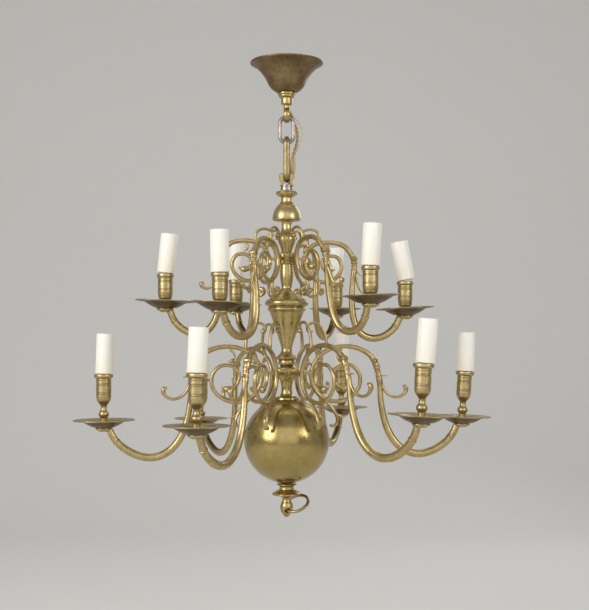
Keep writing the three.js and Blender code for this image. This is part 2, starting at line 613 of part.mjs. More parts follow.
function addTier(tier) {
  tier.places.forEach((place, index) => {
    const azimuth = THREE.MathUtils.degToRad(place.azimuth);
    const slot = THREE.MathUtils.degToRad(slotAzimuth(tier, index));
    const { pieces, end, endTurn } = armBars(tier, place);
    const swing = azimuth - slot - endTurn;
    const armPlace = new THREE.Group();
    armPlace.position.z = tier.ringZ;
    armPlace.rotation.z = Math.PI + slot;
    chandelier.add(armPlace);
    const arm = fromSolid(joined([...pieces, ...armEnd(end, Math.PI + slot + swing, place)]));
    addPiece(`${tier.name}_arm_${place.name}`, swung(arm, tier.swing, swing), BRASS, armPlace);

    const panPlace = new THREE.Group();
    const reach = Math.hypot(end.x, end.y);
    panPlace.position.set(-reach * Math.cos(azimuth), -reach * Math.sin(azimuth), tier.ringZ + end.z);
    chandelier.add(panPlace);
    addPiece(`${tier.name}_drip_pan_${place.name}`, dripPan(place), BRASS, panPlace);

    // The socket tips about the top of the boss, and is lifted so that its foot clears the pan
    const seat = -PAN_DEPTH - GAP;
    const lift = tier.socket[0][0] * Math.abs(Math.sin(THREE.MathUtils.degToRad(place.stand)));
    const socketPlace = new THREE.Group();
    socketPlace.position.z = seat + lift;
    socketPlace.quaternion.copy(tipped(place.stand));
    panPlace.add(socketPlace);
    const lean = tipped(place.lean - place.stand);
    const socket = candleSocket(tier.socket, lean, place.shift).translate(0, 0, -seat);
    const sleeve = candleSleeve(tier.socket, lean, place.shift).translate(0, 0, -seat);
    addPiece(`${tier.name}_candle_socket_${place.name}`, socket, BRASS, socketPlace);
    addPiece(`${tier.name}_candle_sleeve_${place.name}`, sleeve, IVORY, socketPlace);
  });
}

addPiece('ceiling_cup', ceilingCup(), DARK_BRASS);
addPiece('ceiling_hook', ceilingHook(), BRASS);
addPiece('chain_link_upper', link(UPPER_LINK), STEEL);
addPiece('chain_link_lower', link(LOWER_LINK).rotateZ(Math.PI / 2), BRASS);
addPiece('power_cable', powerCable(), FLEX);
addPiece('stem_loop', stemLoop(), STEEL);
addPiece('crown_bell', crownBell(), BRASS);
addPiece('upper_baluster', upperBaluster(), BRASS);
addPiece('centre_baluster', centreBaluster(), BRASS);
addPiece('ball_globe', ballGlobe(), BRASS);
addPiece('bottom_finial', bottomFinial(), BRASS);
addPiece('pull_ring', pullRing(), BRASS);
addTier(UPPER_TIER);
addTier(LOWER_TIER);

export default chandelier;
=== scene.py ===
from math import asin, atan2, cos, degrees, hypot, pi, radians, sin, sqrt, tan

import bmesh
import bpy
import numpy as np
from mathutils import Matrix, Vector


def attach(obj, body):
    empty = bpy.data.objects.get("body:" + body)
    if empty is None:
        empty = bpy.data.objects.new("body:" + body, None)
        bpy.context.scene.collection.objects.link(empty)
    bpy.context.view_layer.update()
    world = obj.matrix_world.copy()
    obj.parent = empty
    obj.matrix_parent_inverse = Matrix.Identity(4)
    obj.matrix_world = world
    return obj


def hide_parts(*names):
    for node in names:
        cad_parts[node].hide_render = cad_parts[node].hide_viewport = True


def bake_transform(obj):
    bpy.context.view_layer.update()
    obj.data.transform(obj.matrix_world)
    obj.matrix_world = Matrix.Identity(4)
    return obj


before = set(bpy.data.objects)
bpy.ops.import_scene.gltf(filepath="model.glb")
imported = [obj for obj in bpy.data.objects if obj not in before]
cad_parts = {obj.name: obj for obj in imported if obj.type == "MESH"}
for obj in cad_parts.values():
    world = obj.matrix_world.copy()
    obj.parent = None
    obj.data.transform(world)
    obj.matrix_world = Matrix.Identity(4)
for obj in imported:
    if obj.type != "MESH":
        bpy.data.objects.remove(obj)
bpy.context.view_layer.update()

# Lengths below are in millimetres
MM = 0.001
TAU = 2 * pi

# Camera: its place, how far it looks up, and its lens
CAMERA_PLACE = (11.6, -1708.9, -428)
CAMERA_PITCH = 2.13
CAMERA_LENS = 70.29
CAMERA_SENSOR = 36

FLOOR_Z = -930

# Heights of the two arm rings, and the share of its hinge's distance over which an arm bends up
RING_Z = {"upper": -296, "lower": -466}
HINGE_SHARE = 0.4
PAN_DEPTH = 11.5
GAP = 0.3
# Top of the boss at an arm's end, from the brim of its pan
SEAT = -PAN_DEPTH - GAP
BOSS_HEIGHT = 4
STUD = {"radius": 3.4, "top": 1.5}
SLEEVE = {"radius": 12.9, "inner": 11.2, "length": 58}
LAMPHOLDER = {"radius": 9.8, "bore": 7, "above": 46, "depth": 24}

CABLE_ROUTE = [
    (0.5, 16.6, -43.5), (0.5, 16.6, -49), (0.7, 16.6, -55), (1.4, 16.6, -61.5), (2.8, 16.4, -68),
    (5, 15.6, -75), (8, 14, -82.5), (11.4, 12, -90), (14.4, 10.2, -98.5), (16, 9, -107.5),
    (15.9, 8.6, -116.5), (14, 8.8, -125.2), (11.2, 9.4, -133.5), (9, 10, -141.5), (8.2, 10.8, -150),
    (7.9, 12.6, -158.5), (7, 15.5, -166.5), (5.3, 18.2, -173.4), (3.8, 19.8, -180.4), (2.8, 19, -184.4),
    (1.9, 16.8, -187.8), (1.2, 13.4, -190), (0.8, 9.4, -190.8),
]

# Scrolled bars are lists of (distance from the axis, height above the ring, bar radius)
# A fourth value is the bar's half width across, where it is flattened into a leaf.
LOWER_SCROLL = {
    "main": [
        (259.2, -75.6, 5.4), (257.2, -81, 5.4), (252, -90, 5.5), (243.5, -99.5, 5.7), (232.5, -107.5, 5.9),
        (219.5, -114, 6), (205, -117.4, 6), (190, -116.3, 6), (176, -109.8, 5.9), (164, -98.8, 5.8),
        (154.5, -83.5, 5.5), (147.8, -64.5, 5), (142.8, -39, 4.5), (141, -16, 4), (140, -7, 4.8),
        (138, 3, 3.8), (135, 14, 5), (126.5, 27.5, 4.1), (110, 37.5, 3.8), (89, 41.5, 3.6), (68, 38, 3.5),
        (49, 26, 3.5), (38, 6, 3.4), (38.5, -14, 3.4), (51, -33, 3.3), (73, -41, 3.2), (95, -35.5, 3.1),
        (109, -20, 3), (110, -1, 3), (98, 12.5, 2.9), (81, 12.5, 2.8), (70.5, 2, 2.8), (73, -13, 2.7),
        (80.5, -19.5, 3.6), (86, -21.3, 5.2), (91, -20.5, 4.4), (93.5, -19.5, 2),
    ],
    "outerHook": [
        (142, -6, 2.6), (145, -17.5, 2.4), (151.5, -27, 2.3), (160, -32.5, 2.2), (169.5, -33.5, 2.2),
        (177.5, -29.5, 2.4), (181.5, -22.5, 3.2), (180.3, -18.3, 3.3), (177.5, -17, 2),
    ],
    "thorn": [(138.5, 2, 2.4), (144, -1, 1.6), (152.5, -2, 0.5)],
    "underArch": [(83, 37, 2), (77.5, 31, 1.8), (77, 24, 1.9), (81, 19.5, 2.8), (84.5, 19.5, 1.6)],
    "upperCurl": [
        (59.5, 32, 2.4), (59, 48, 2.3), (55, 63, 2.2), (47, 73.5, 2.1), (37.5, 75, 2.1), (30.5, 69.5, 2.4),
        (33, 63, 3.7), (36.5, 62.5, 2),
    ],
    "lowerCurl": [
        (57, -36, 2.6, 2.6), (62.5, -44, 2.5, 3), (69.5, -52, 2.4, 3.6), (75, -60.5, 2.3, 4.1),
        (77.3, -68.5, 2.2, 4.2), (75.3, -75, 2.2, 4), (70.3, -77.6, 2.3, 3.4), (66.5, -76, 1.4, 1.8),
    ],
    "lowerSpur": [(76, -60, 2), (82.5, -63, 1.3), (88, -65, 0.5)],
}
UPPER_SCROLL = {
    "main": [
        (173, -79.6, 5.3), (171, -85, 5.3), (166.5, -94, 5.4), (159.5, -102, 5.5), (150, -108.7, 5.6),
        (138.5, -112.6, 5.6), (126.5, -112.2, 5.6), (115.5, -107, 5.5), (107.3, -96.5, 5.3),
        (102.3, -82.5, 5.1), (99.8, -65, 4.8), (99, -45, 4.4), (99.3, -30, 3.9), (100.6, -17, 4.6),
        (101, -7, 3.8), (99.6, 3, 4.9), (93.8, 13, 4), (86, 21, 3.8), (77, 25.2, 3.7), (66, 26.8, 3.6),
        (54, 26, 3.5), (39, 21.5, 3.4), (28.5, 7, 3.4), (29, -13, 3.2), (42, -28.5, 3.1), (60.5, -33, 3.1),
        (76, -24, 3), (82, -9, 3), (76, 4, 2.9), (64, 6.5, 2.8), (54, 0, 2.7), (54.5, -11, 2.8),
        (59.5, -15.3, 4.2), (65, -15.8, 4.6), (68.8, -14.6, 2),
    ],
    "outerHook": [
        (100.5, -15, 2.4), (104, -23, 2.2), (106.8, -32, 2.1), (110.3, -40, 2), (114.3, -44.6, 2),
        (119.5, -46, 2.1), (125, -43.6, 2.6), (127.2, -39.5, 3.2), (124.6, -37.2, 2),
    ],
    "thorn": [(100.5, -5, 2.4), (104.5, -12, 1.7), (108.5, -18, 1.1), (112.5, -21.5, 0.5)],
    "underArch": [(64, 27, 2), (59.5, 20.5, 1.9), (60.5, 14.5, 2.5), (63.5, 13, 1.4)],
    "upperCurl": [
        (47.5, 24, 2.2), (47, 37, 2.1), (41.5, 43.2, 2), (32.5, 44.8, 2), (24, 41.5, 2), (22, 37, 2.4),
        (26.5, 33.5, 3.3), (29.5, 34.5, 1.8),
    ],
    "lowerCurl": [
        (45, -28, 2.3), (50, -37.5, 2.2), (49.8, -47, 2.1), (45, -53.8, 2.1), (38.5, -55, 2.3),
        (34.3, -51, 3.6), (35.3, -46.5, 4.7), (38.5, -44.6, 3),
    ],
}

# Raised beads on the main bar: (distance, height, how much wider than the bar)
LOWER_BEADS = [(136.8, 11.4, 1.2), (138, 5.8, 1.28), (139.7, -1.6, 1.18), (250, -92.5, 1.1)]
UPPER_BEADS = [(100.7, -1.5, 1.2), (101, -6.5, 1.28), (100.8, -12, 1.2), (166.5, -94, 1.1)]

# Places round the stem. The arms sit in evenly spaced pockets, the first one at the azimuth slot, from
# the left towards the front, and are old and bent. Each row: the azimuth of the candle, rise and pull
# of the arm's end, the hinge about which it has risen, the arm's roll about its tenon, the pan's
# radius, and in degrees how far its rim sags to the right and how far the socket stands and the candle
# leans to the right; shift moves the candle's foot on its lip. swing is where an arm bends sideways.
PLACE_FACTS = ("azimuth", "rise", "pull", "hinge", "roll", "pan", "sag", "stand", "lean", "shift")
TIERS = {
    "lower": {
        "slot": 6.9, "swing": (90, 250), "reach": 267.5, "brim": -60.5, "lip": 66, "scroll": LOWER_SCROLL,
        "beads": LOWER_BEADS, "volute": (132.8, 20.3, 4.4), "places": {
            "left": (6.6, -6, 1.5, 20, 0, 45, -0.6, -0.5, 1.7, 0.7),
            "left_front": (65, 0, 0, 20, 0, 43.5, 0, 0.3, 2.6, -0.3),
            "right_front": (130.7, 11.6, 0, 90, 0, 44, 2.5, 2.5, 4.6, 2),
            "right": (186.8, -3.7, -1, 20, 0, 44.5, 2.2, 4, 1.8, 1),
            "right_back": (250, -1.4, 0, 20, 0, 44.5, 0, 0, 0, 0),
            "left_back": (303.5, -18.7, 0, 20, 0, 44.5, 0, 0, 0, 0),
        },
    },
    "upper": {
        "slot": 3.1, "swing": (85, 150), "reach": 180.5, "brim": -65, "lip": 39.2, "scroll": UPPER_SCROLL,
        "beads": UPPER_BEADS, "volute": (100.5, 4.5, 4.2), "places": {
            "left": (2.4, 3, -1.8, 20, 0, 44.5, 2.4, 0, 5.9, 0.3),
            "left_front": (60, -4.8, 0, 20, 2.5, 40, 2, 0, -1.1, 0),
            "right_front": (129.2, 4.6, 0, 20, 6, 38.5, -2, 0, 2.8, 0),
            "right": (185.8, -6.8, 1.1, 20, 0, 44, -3.1, 0, -10.8, 1.8),
            "right_back": (243.9, -2.8, 0, 20, 0, 42, 0, 0, 0, 0),
            "left_back": (297.3, 3.4, 0, 20, 0, 42, 0, 0, 0, 0),
        },
    },
}


# Mesh helpers: a shape is (vertices in millimetres, faces)
def joined(*shapes):
    vertices, faces = [], []
    for shape_vertices, shape_faces in shapes:
        start = len(vertices)
        vertices.extend(shape_vertices)
        faces.extend(tuple(i + start for i in face) for face in shape_faces)
    return vertices, faces


def moved(shape, matrix):
    return [tuple(matrix @ Vector(v)) for v in shape[0]], shape[1]


# Pairs of knots between which a spline is blended, in three rounds
KNOT_PAIRS = (((0, 1), (1, 2), (2, 3)), ((0, 2), (1, 3)), ((1, 2),))


def smooth_line(points, steps, axes=2):
    """Points on a centripetal spline through the given ones; axes says how many values are a place."""
    p = np.array(points, float)
    if steps < 2 or len(p) < 3:
        return p
    p = np.vstack([2 * p[0] - p[1], p, 2 * p[-1] - p[-2]])
    out = []
    for i in range(1, len(p) - 2):
        k = [0]
        for gap in np.diff(p[i - 1:i + 3, :axes], axis=0):
            k.append(k[-1] + max(sqrt(np.linalg.norm(gap)), 1e-6))
        for t in np.linspace(k[1], k[2], steps, endpoint=False):
            row = p[i - 1:i + 3]
            for pairs in KNOT_PAIRS:
                mixed = zip(row, row[1:], pairs)
                row = [((k[n] - t) * a + (t - k[m]) * b) / (k[n] - k[m]) for a, b, (m, n) in mixed]
            out.append(row[0])
    out.append(p[-2])
    return np.array(out)


def profile(points, steps=5):
    """An outline whose stretches between corners are smooth; a corner is a point with a third value."""
    out, run = [], []
    for point in points:
        run.append(point[:2])
        if len(point) == 3 and len(run) > 1:
            out.extend(tuple(p) for p in smooth_line(run, steps)[:-1])
            run = [point[:2]]
    out.extend(tuple(p) for p in smooth_line(run, steps))
    return out


def turned(outline, sides=64, closed=False):
    """A turned shape about Z. The outline starts and ends on the axis, or is closed."""
    vertices, faces, rings = [], [], []
    for radius, z in outline:
        if radius < 1e-6:
            rings.append([len(vertices)] * sides)
            vertices.append((0, 0, z))
            continue
        rings.append(list(range(len(vertices), len(vertices) + sides)))
        for i in range(sides):
            turn = TAU * i / sides
            vertices.append((radius * cos(turn), radius * sin(turn), z))
    pairs = list(zip(rings, rings[1:]))
    if closed:
        pairs.append((rings[-1], rings[0]))
    for low, high in pairs:
        for i in range(sides):
            k = (i + 1) % sides
            face = [low[i], low[k], high[k], high[i]]
            face = [v for n, v in enumerate(face) if v != face[n - 1]]
            if len(face) > 2:
                faces.append(tuple(face))
    return vertices, faces


def walls(layers, count, closed=False):
    """Faces between rings of points, and a cap on both ends unless the rings close a loop."""
    faces = []
    for i in range(layers if closed else layers - 1):
        n = (i + 1) % layers
        for k in range(count):
            m = (k + 1) % count
            faces.append((i * count + k, i * count + m, n * count + m, n * count + k))
    if not closed:
        faces.append(tuple(range(count - 1, -1, -1)))
        faces.append(tuple((layers - 1) * count + k for k in range(count)))
    return faces


def corner(turn, soft):
    """How far out a section reaches in one direction, on a circle flattened on eight sides."""
    slice_angle = TAU / 8
    flat = cos(slice_angle / 2) / cos((turn + slice_angle / 2) % slice_angle - slice_angle / 2)
    return soft + (1 - soft) * flat


def swept(stations, sides, width=1, closed=False, soft=1):
    """A bar along a bent line in the XZ plane. width is how much wider it is across the plane than in
    it, unless a station's fourth value is its half width across. soft=1 makes it round."""
    s = np.array(stations, float)
    count = len(s)
    vertices = []
    for i in range(count):
        before = s[(i - 1) % count if closed else max(i - 1, 0)]
        after = s[(i + 1) % count if closed else min(i + 1, count - 1)]
        tx, tz = after[0] - before[0], after[1] - before[1]
        length = hypot(tx, tz) or 1
        tx, tz = tx / length, tz / length
        half = s[i][3] if len(s[i]) > 3 else width * s[i][2]
        for k in range(sides):
            turn = TAU * (k + 0.5) / sides
            reach = corner(turn, soft)
            across = s[i][2] * cos(turn) * reach
            vertices.append((s[i][0] - tz * across, half * sin(turn) * reach, s[i][1] + tx * across))
    return vertices, walls(count, sides, closed)


def frames(points):
    """Directions along a line in space, and two across it that turn as little as they can."""
    tangents = np.gradient(points, axis=0)
    tangents /= np.linalg.norm(tangents, axis=1)[:, None]
    normals = np.zeros_like(tangents)
    normal = np.cross(tangents[0], (0.3, 1, 0.2))
    for i, tangent in enumerate(tangents):
        normal = normal - tangent * np.dot(normal, tangent)
        normal /= np.linalg.norm(normal)
        normals[i] = normal
    return normals, np.cross(tangents, normals)


def tube(points, radius, sides):
    """A round tube along points in space, closed at both ends."""
    normals, binormals = frames(points)
    vertices = []
    for point, normal, binormal in zip(points, normals, binormals):
        for k in range(sides):
            turn = TAU * k / sides
            vertices.append(point + radius * (cos(turn) * normal + sin(turn) * binormal))
    return vertices, walls(len(points), sides)


def mesh_of(name, shape, sharp=35):
    """A mesh in metres whose face normals agree and point outwards, shell by shell."""
    mesh = bpy.data.meshes.new(name)
    mesh.from_pydata([tuple(c * MM for c in v) for v in shape[0]], [], shape[1])
    mesh.validate()
    work = bmesh.new()
    work.from_mesh(mesh)
    bmesh.ops.recalc_face_normals(work, faces=work.faces)
    work.to_mesh(mesh)
    work.free()
    mesh.polygons.foreach_set("use_smooth", [True] * len(mesh.polygons))
    mesh.set_sharp_from_angle(angle=radians(sharp))
    mesh.update()
    return mesh


def placed(name, data):
    """A new object in the scene."""
    obj = bpy.data.objects.new(name, data)
    bpy.context.scene.collection.objects.link(obj)
    return obj


def piece(name, mesh, finish, node, body="chandelier", slot="brass", matrix=None):
    obj = placed(name, mesh)
    if not mesh.materials:
        mesh.materials.append(FINISHES[finish])
    if matrix is not None:
        obj.matrix_world = matrix
    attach(obj, body)
    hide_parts(node)
    return obj


# Materials by name
FINISHES = {}


def new_material(name):
    material = bpy.data.materials.new(name)
    material.use_nodes = True
    FINISHES[name] = material
    tree = material.node_tree
    return tree, tree.nodes["Principled BSDF"]


def feed(tree, node, inputs):
    """Fill inputs of a node, each with a value or with the output of another node."""
    for key, value in inputs.items():
        if isinstance(value, bpy.types.NodeSocket):
            tree.links.new(value, node.inputs[key])
        else:
            node.inputs[key].default_value = value
    return node


def coordinates(tree):
    """Object coordinates, also shifted by a different amount on each object."""
    place = tree.nodes.new("ShaderNodeTexCoord").outputs["Object"]
    which = tree.nodes.new("ShaderNodeObjectInfo").outputs["Random"]
    spread = feed(tree, tree.nodes.new("ShaderNodeCombineXYZ"), {0: which, 1: which, 2: which})
    shift = tree.nodes.new("ShaderNodeVectorMath")
    shift.operation = "MULTIPLY_ADD"
    feed(tree, shift, {0: spread.outputs[0], 1: (3.1, 5.3, 7.9), 2: place})
    return place, shift.outputs[0]


def noise(tree, vector, scale, detail=4, roughness=0.6):
    node = tree.nodes.new("ShaderNodeTexNoise")
    feed(tree, node, {"Vector": vector, "Scale": scale, "Detail": detail, "Roughness": roughness})
    return node.outputs["Fac"]


def stretched(tree, vector, scale, detail):
    """Noise drawn out along the axes."""
    mapping = feed(tree, tree.nodes.new("ShaderNodeMapping"), {"Vector": vector, "Scale": scale})
    return noise(tree, mapping.outputs[0], 1, detail)


def ramp(tree, value, low, high, out_low, out_high):
    node = tree.nodes.new("ShaderNodeMapRange")
    feed(tree, node, {"Value": value, "From Min": low, "From Max": high})
    feed(tree, node, {"To Min": out_low, "To Max": out_high})
    return node.outputs["Result"]


def mix(tree, factor, first, second):
    node = tree.nodes.new("ShaderNodeMix")
    node.data_type = "RGBA"
    feed(tree, node, {"Factor": factor})
    for name, value in (("A", first), ("B", second)):
        index = [i for i, s in enumerate(node.inputs) if s.name == name and s.type == "RGBA"][0]
        feed(tree, node, {index: (*value, 1) if isinstance(value, tuple) else value})
    return [s for s in node.outputs if s.type == "RGBA"][0]


def bumped(tree, shader, height, strength, distance):
    bump = tree.nodes.new("ShaderNodeBump")
    feed(tree, bump, {"Height": height, "Strength": strength, "Distance": distance})
    feed(tree, shader, {"Normal": bump.outputs[0]})


def metal(name, bright, dull, tarnish_and_shade, roughness, turned_lines, tarnish):
    """Aged metal: cloudy tone, tarnish blotches, hollows darkened partly as patina and partly as painted
    shade, and fine scratches.
    """
    tree, shader = new_material(name)
    plain, shifted = coordinates(tree)
    clouds = ramp(tree, noise(tree, shifted, 55, 5), 0.35, 0.7, 0, 1)
    colour = mix(tree, clouds, bright, dull)
    blotches = ramp(tree, noise(tree, shifted, 210, 6, 0.7), 0.52, 0.74, 0, tarnish)
    colour = mix(tree, blotches, colour, tarnish_and_shade)
    # Hollows, where pointiness is low, are darkened towards the dark tone: partly patina, partly painted
    # shade.
    pointiness = tree.nodes.new("ShaderNodeNewGeometry").outputs["Pointiness"]
    colour = mix(tree, ramp(tree, pointiness, 0.497, 0.44, 0, 0.85), colour, tarnish_and_shade)
    uneven = ramp(tree, noise(tree, shifted, 90, 4), 0.3, 0.75, roughness - 0.07, roughness + 0.1)
    height = noise(tree, shifted, 420, 5, 0.65)
    if turned_lines:
        blend = tree.nodes.new("ShaderNodeMath")
        blend.operation = "MULTIPLY_ADD"
        feed(tree, blend, {0: stretched(tree, plain, (6, 6, 1500), 2), 1: turned_lines, 2: height})
        height = blend.outputs[0]
    feed(tree, shader, {"Base Color": colour, "Metallic": 1, "Roughness": uneven})
    bumped(tree, shader, height, 0.16, 0.0006)


def ivory(name):
    """Cream candle sleeve: thin plastic, slightly mottled and yellower towards the foot."""
    tree, shader = new_material(name)
    plain, shifted = coordinates(tree)
    split = feed(tree, tree.nodes.new("ShaderNodeSeparateXYZ"), {0: plain})
    foot = ramp(tree, split.outputs["Z"], 0, 0.03, 0.55, 0)
    colour = mix(tree, foot, (0.87, 0.845, 0.77), (0.8, 0.73, 0.56))
    mottled = ramp(tree, stretched(tree, shifted, (160, 160, 22), 4), 0.45, 0.75, 0, 0.35)
    colour = mix(tree, mottled, colour, (0.78, 0.73, 0.6))
    feed(tree, shader, {"Base Color": colour, "Roughness": 0.42})
    feed(tree, shader, {"Subsurface Weight": 0.12, "Subsurface Radius": (0.004, 0.003, 0.0015)})
    bumped(tree, shader, noise(tree, shifted, 140, 3), 0.12, 0.0005)


def plain_plastic(name, colour, roughness):
    tree, shader = new_material(name)
    tone = ramp(tree, noise(tree, coordinates(tree)[1], 120, 3), 0.3, 0.7, 0, 0.5)
    shade = tuple(0.8 * c for c in colour)
    feed(tree, shader, {"Base Color": mix(tree, tone, colour, shade), "Roughness": roughness})


def textile(name, light, dark):
    """Fine braided thread of the flex."""
    tree, shader = new_material(name)
    weave = tree.nodes.new("ShaderNodeTexWave")
    weave.wave_type = "BANDS"
    weave.bands_direction = "DIAGONAL"
    feed(tree, weave, {"Vector": coordinates(tree)[1], "Scale": 420, "Distortion": 2.5})
    threads = weave.outputs["Fac"]
    colour = mix(tree, threads, dark, light)
    feed(tree, shader, {"Base Color": colour, "Roughness": 0.55, "Sheen Weight": 0.3})
    bumped(tree, shader, threads, 0.5, 0.0003)


# Each metal: bright and dull tone, dark tone of tarnish and painted shade, roughness, strength of the
# turning lines, share of tarnish
METALS = {
    "stem_brass": ((0.51, 0.395, 0.175), (0.39, 0.295, 0.12), (0.11, 0.074, 0.028), 0.28, 0.6, 0.5),
    "arm_brass": ((0.54, 0.42, 0.2), (0.41, 0.31, 0.14), (0.1, 0.068, 0.027), 0.33, 0, 0.6),
    "socket_brass": ((0.52, 0.41, 0.205), (0.4, 0.31, 0.15), (0.11, 0.076, 0.032), 0.35, 1, 0.5),
    "pan_brass": ((0.42, 0.325, 0.15), (0.31, 0.235, 0.1), (0.1, 0.07, 0.03), 0.34, 0.8, 0.5),
    # Painted shade: a darker copy of the pan brass, for the pans' downward faces
    "pan_underside_painted_shade": ((0.15, 0.107, 0.042), (0.1, 0.069, 0.026), (0.045, 0.03, 0.013), 0.36, 0.8, 0.5),
    "bell_brass": ((0.58, 0.47, 0.235), (0.48, 0.375, 0.175), (0.16, 0.11, 0.048), 0.31, 0.6, 0.4),
    "cup_brass": ((0.27, 0.19, 0.095), (0.17, 0.114, 0.056), (0.05, 0.033, 0.019), 0.4, 0.4, 0.7),
    "ball_brass": ((0.44, 0.34, 0.135), (0.36, 0.272, 0.1), (0.16, 0.11, 0.042), 0.22, 0.3, 0.3),
    "link_steel": ((0.4, 0.34, 0.31), (0.28, 0.23, 0.21), (0.11, 0.08, 0.07), 0.34, 0, 0.5),
    "link_brass": ((0.4, 0.315, 0.155), (0.26, 0.195, 0.088), (0.08, 0.053, 0.026), 0.42, 0, 0.7),
    "ring_brass": ((0.4, 0.31, 0.15), (0.28, 0.21, 0.1), (0.08, 0.056, 0.027), 0.36, 0, 0.7),
}
for metal_name, looks in METALS.items():
    metal(metal_name, *looks)
ivory("ivory_plastic")
plain_plastic("lampholder_plastic", (0.62, 0.58, 0.48), 0.45)
textile("flex_gold", (0.52, 0.4, 0.16), (0.26, 0.18, 0.06))
plain_plastic("cable_sleeving", (0.5, 0.36, 0.15), 0.5)
plain_plastic("wire_gold", (0.66, 0.52, 0.26), 0.4)


# Camera
camera = placed("camera", bpy.data.cameras.new("camera"))
camera.data.lens = CAMERA_LENS
camera.data.sensor_width = CAMERA_SENSOR
camera.data.sensor_fit = "HORIZONTAL"
camera.location = [c * MM for c in CAMERA_PLACE]
camera.rotation_euler = (radians(90 + CAMERA_PITCH), 0, 0)
bpy.context.scene.camera = camera


# Cords beside the chain, which bends at three joints, so that each cord is made in three stretches
STRETCHES = (
    ("top", "canopy", "link_upper", -52, -97),
    ("middle", "link_upper", "link_lower", -100, -140),
    ("foot", "link_lower", "chandelier", -150, -186),
)
# Thin single wire that has slipped out of the flex and bulges outside it
WIRE_ROUTE = [
    (2.8, 16.4, -51), (3.2, 16.3, -58), (4.2, 16, -65), (6, 15.4, -72), (9.6, 14.2, -79), (14.6, 12.6, -85),
    (18.8, 11.2, -91), (21.8, 10, -98.5), (23.1, 9.2, -106.5), (22.4, 9, -114.6), (20.2, 9, -121),
    (16.8, 9.4, -128), (13.6, 10, -135), (12.4, 10.6, -143), (12.6, 12, -150), (12.5, 13.8, -157),
    (11.4, 16, -164), (9.6, 18, -170), (8, 19.6, -176), (6.8, 20.4, -182),
]
# Points on a cord's line for each of its route, and the length over which its strands turn once
CORD_STEPS = 6
TWIST_PITCH = 13


def twisted(line, count, offset):
    """Lines of the strands that wind round a cord's own line."""
    run = np.concatenate([[0], np.cumsum(np.linalg.norm(np.diff(line, axis=0), axis=1))])
    normals, binormals = frames(line)
    strands = []
    for strand in range(count):
        turn = TAU * (run / TWIST_PITCH + strand / count)
        strands.append(line + offset * (np.cos(turn)[:, None] * normals + np.sin(turn)[:, None] * binormals))
    return strands


def cord_pieces(name, route, splits, strands, finish, sleeved=()):
    """A cord in three stretches that part at the route's points splits. strands are (how many, radius,
    distance from the cord's line); sleeved is the height from which and to which it has a sleeve."""
    count, radius, offset = strands
    line = smooth_line(route, CORD_STEPS, 3)
    lines = twisted(line, count, offset)
    for (part, upper_body, lower_body, start, end), first, last in zip(STRETCHES, splits, splits[1:]):
        cut = slice(first * CORD_STEPS, last * CORD_STEPS + 1)
        shape = joined(*(tube(strand[cut], radius, 10) for strand in lines))
        pieces = [(f"{name}_{part}", shape, finish)]
        if sleeved and part == "foot":
            inside = line[(line[:, 2] < sleeved[0]) & (line[:, 2] > sleeved[1])]
            pieces.append((f"{name}_sleeving", tube(inside, 3, 20), "cable_sleeving"))
        for piece_name, piece_shape, piece_finish in pieces:
            obj = placed(piece_name, mesh_of(piece_name, piece_shape))
            obj.data.materials.append(FINISHES[piece_finish])
            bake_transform(obj)
            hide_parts("power_cable")


cord_pieces("flex", CABLE_ROUTE, (0, 8, 13, 22), (2, 1.35, 1.05), "flex_gold", (-143, -168))
cord_pieces("wire", WIRE_ROUTE, (0, 7, 13, 19), (1, 0.7, 0), "wire_gold")


def stem_piece(name, outline, finish="stem_brass", sides=96, closed=True, **where):
    mesh = mesh_of(name, turned(outline, sides, closed))
    return piece(f"{name}_fine", mesh, finish, name, **where)


# Ceiling cup, with a rolled rim and a hole for the flex
def ceiling_cup():
    outside = profile([
        (52.4, -0.3, 1), (54, -0.5), (54.8, -1.5), (54.5, -2.8), (53.4, -3.6, 1), (52.4, -3.9, 1),
        (50.2, -5.2), (47.5, -7), (43.2, -10.6), (39.4, -14.6), (36, -19), (33, -23.5), (30.2, -28.8),
        (27.6, -34), (25.7, -37.2), (23.5, -39.8), (21.3, -41.9), (18.8, -43.8), (16.4, -45.4),
        (14.2, -46.4, 1),
    ], 4)
    inside = profile([
        (5.4, -46.4, 1), (5.4, -44.8, 1), (13.4, -44.8), (17.6, -42.2), (21.8, -38.4), (25.6, -33.2),
        (31, -23.5), (37.9, -13.4), (46.4, -5.6), (51.8, -1.9, 1),
    ], 4)
    cup = stem_piece("ceiling_cup", outside + inside, "cup_brass", body="canopy", slot="dark_brass")
    hole_y = CABLE_ROUTE[0][1]
    cut_hole(cup, turned([(0, -7), (3, -7), (3, 7), (0, 7)], 24), Matrix.Translation((0, hole_y, -43)))
    bush = profile([
        (2.5, -42, 1), (3.4, -42, 1), (3.4, -45.6, 1), (4.1, -46.2), (3.9, -47, 1), (2.5, -47, 1),
    ], 3)
    shape = moved(turned(bush, 24, True), Matrix.Translation((0, hole_y, 0)))
    piece("cable_bush", mesh_of("cable_bush", shape), "ring_brass", "ceiling_cup", "canopy", "dark_brass")


def cut_hole(obj, drill, matrix):
    """Cut a drill's shape out of a piece."""
    cutter = placed("drill", mesh_of("drill", moved(drill, matrix)))
    cut = obj.modifiers.new("hole", "BOOLEAN")
    cut.object = cutter
    cut.operation = "DIFFERENCE"
    graph = bpy.context.evaluated_depsgraph_get()
    mesh = bpy.data.meshes.new_from_object(obj.evaluated_get(graph))
    obj.modifiers.clear()
    obj.data = mesh
    bpy.data.objects.remove(cutter)


def upright(shape):
    """A shape in the XZ plane turned into the YZ plane."""
    return moved(shape, Matrix.Rotation(pi / 2, 4, "Z"))


